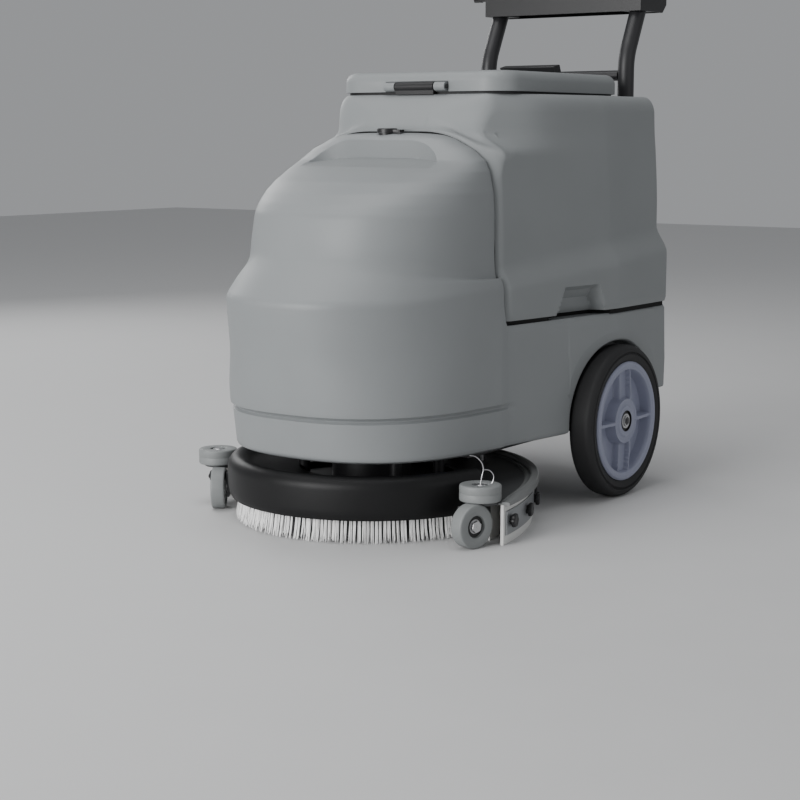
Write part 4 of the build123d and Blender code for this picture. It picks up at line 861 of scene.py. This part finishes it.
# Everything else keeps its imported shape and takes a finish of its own: coated steel tube, plated
# steel, black nylon, rubber, and the coloured switches of the console.
finishes = {
    "handle_uprights": steel_tube, "handlebar": steel_tube, "deck_plate": steel_tube, "brush_motor": steel_tube,
    "stub_axles": wheel_steel, "drive_shaft": wheel_steel, "ignition_key": wheel_steel, "controller": wheel_steel,
    "filler_neck": knob_black, "suction_spigot": knob_black, "suction_pipe": knob_black, "tank_pipes": knob_black,
    "vacuum_motor": knob_black, "brush_block": knob_black, "lid_hinge": knob_black, "panel_trim": knob_black,
    "water_knob": knob_black, "tilt_knob_left": knob_black, "tilt_knob_right": knob_black, "lid_gasket": tyre_rubber,
    "suction_hose": tyre_rubber,
    "grips": moulded_plastic("Grip rubber", (0.02, 0.02, 0.021), rough=0.75, grain=0.9, spread=0.2, scale=260.0),
    "water_valve": moulded_plastic("Valve blue", (0.03, 0.08, 0.25), rough=0.4),
    "water_filter": moulded_plastic("Filter cup", (0.5, 0.52, 0.55), rough=0.25),
    "display": moulded_plastic("Display window", (0.01, 0.02, 0.03), rough=0.08, grain=0.0, coat=0.5),
    "stop_button": moulded_plastic("Stop button red", (0.55, 0.012, 0.012), rough=0.25, grain=0.1),
    "brush_switch": moulded_plastic("Rocker green", (0.02, 0.2, 0.05), rough=0.3, grain=0.1),
    "vacuum_switch": moulded_plastic("Rocker blue", (0.02, 0.06, 0.28), rough=0.3, grain=0.1),
    "squeegee_lever": moulded_plastic("Lever red", (0.5, 0.02, 0.015), rough=0.35, grain=0.2),
}
for node, material in finishes.items():
    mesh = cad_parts[node].data
    mesh.materials.clear()
    mesh.materials.append(material)

# Stage: a pale floor, a soft key from the left, a broad top light and a weak fill from the right.
floor_mesh = bpy.data.meshes.new("floor")
floor_mesh.from_pydata([(-8, -8, 0), (8, -8, 0), (8, 8, 0), (-8, 8, 0)], [], [(0, 1, 2, 3)])
floor = bpy.data.objects.new("floor", floor_mesh)
bpy.context.scene.collection.objects.link(floor)
floor_paint = moulded_plastic("Floor paint", (0.62, 0.62, 0.62), rough=0.7, grain=0.2, spread=0.02, scale=300.0)
floor_mesh.materials.append(floor_paint)
world = bpy.data.worlds.new("studio")
world.use_nodes = True
world.node_tree.nodes["Background"].inputs["Color"].default_value = (0.95, 0.97, 1.0, 1)
world.node_tree.nodes["Background"].inputs["Strength"].default_value = 0.34
bpy.context.scene.world = world


def soft_box(name, spot, aim, size, power):
    """Square area light at spot, turned to face aim."""
    lamp = bpy.data.lights.new(name, "AREA")
    lamp.size = size
    lamp.energy = power
    holder = bpy.data.objects.new(name, lamp)
    holder.location = spot
    holder.rotation_euler = (Vector(aim) - Vector(spot)).to_track_quat("-Z", "Y").to_euler()
    bpy.context.scene.collection.objects.link(holder)


soft_box("key", (-0.7, -4.4, 1.25), (0, -0.2, 0.3), 2.4, 175)
soft_box("overhead", (-0.4, -0.6, 3.2), (0, 0, 0.3), 2.4, 46)
soft_box("fill", (3.2, -0.2, 1.2), (0, 0, 0.3), 2.0, 7)
soft_box("rim", (-2.8, 1.2, 1.6), (0, 0, 0.4), 1.2, 22)

camera = bpy.data.cameras.new("camera")
camera.lens = 78.75
camera.sensor_width = 36.0
camera.clip_end = 50
viewer = bpy.data.objects.new("camera", camera)
bpy.context.scene.collection.objects.link(viewer)
viewer.location = (1.6022, -2.1717 + disc_y, 0.5933)
azimuth, elevation = math.radians(35.4736), math.radians(8.7016)
level = math.cos(elevation)
backward = Vector((math.sin(azimuth) * level, -math.cos(azimuth) * level, math.sin(elevation)))
viewer.rotation_euler = (-backward).to_track_quat("-Z", "Y").to_euler()
bpy.context.scene.camera = viewer
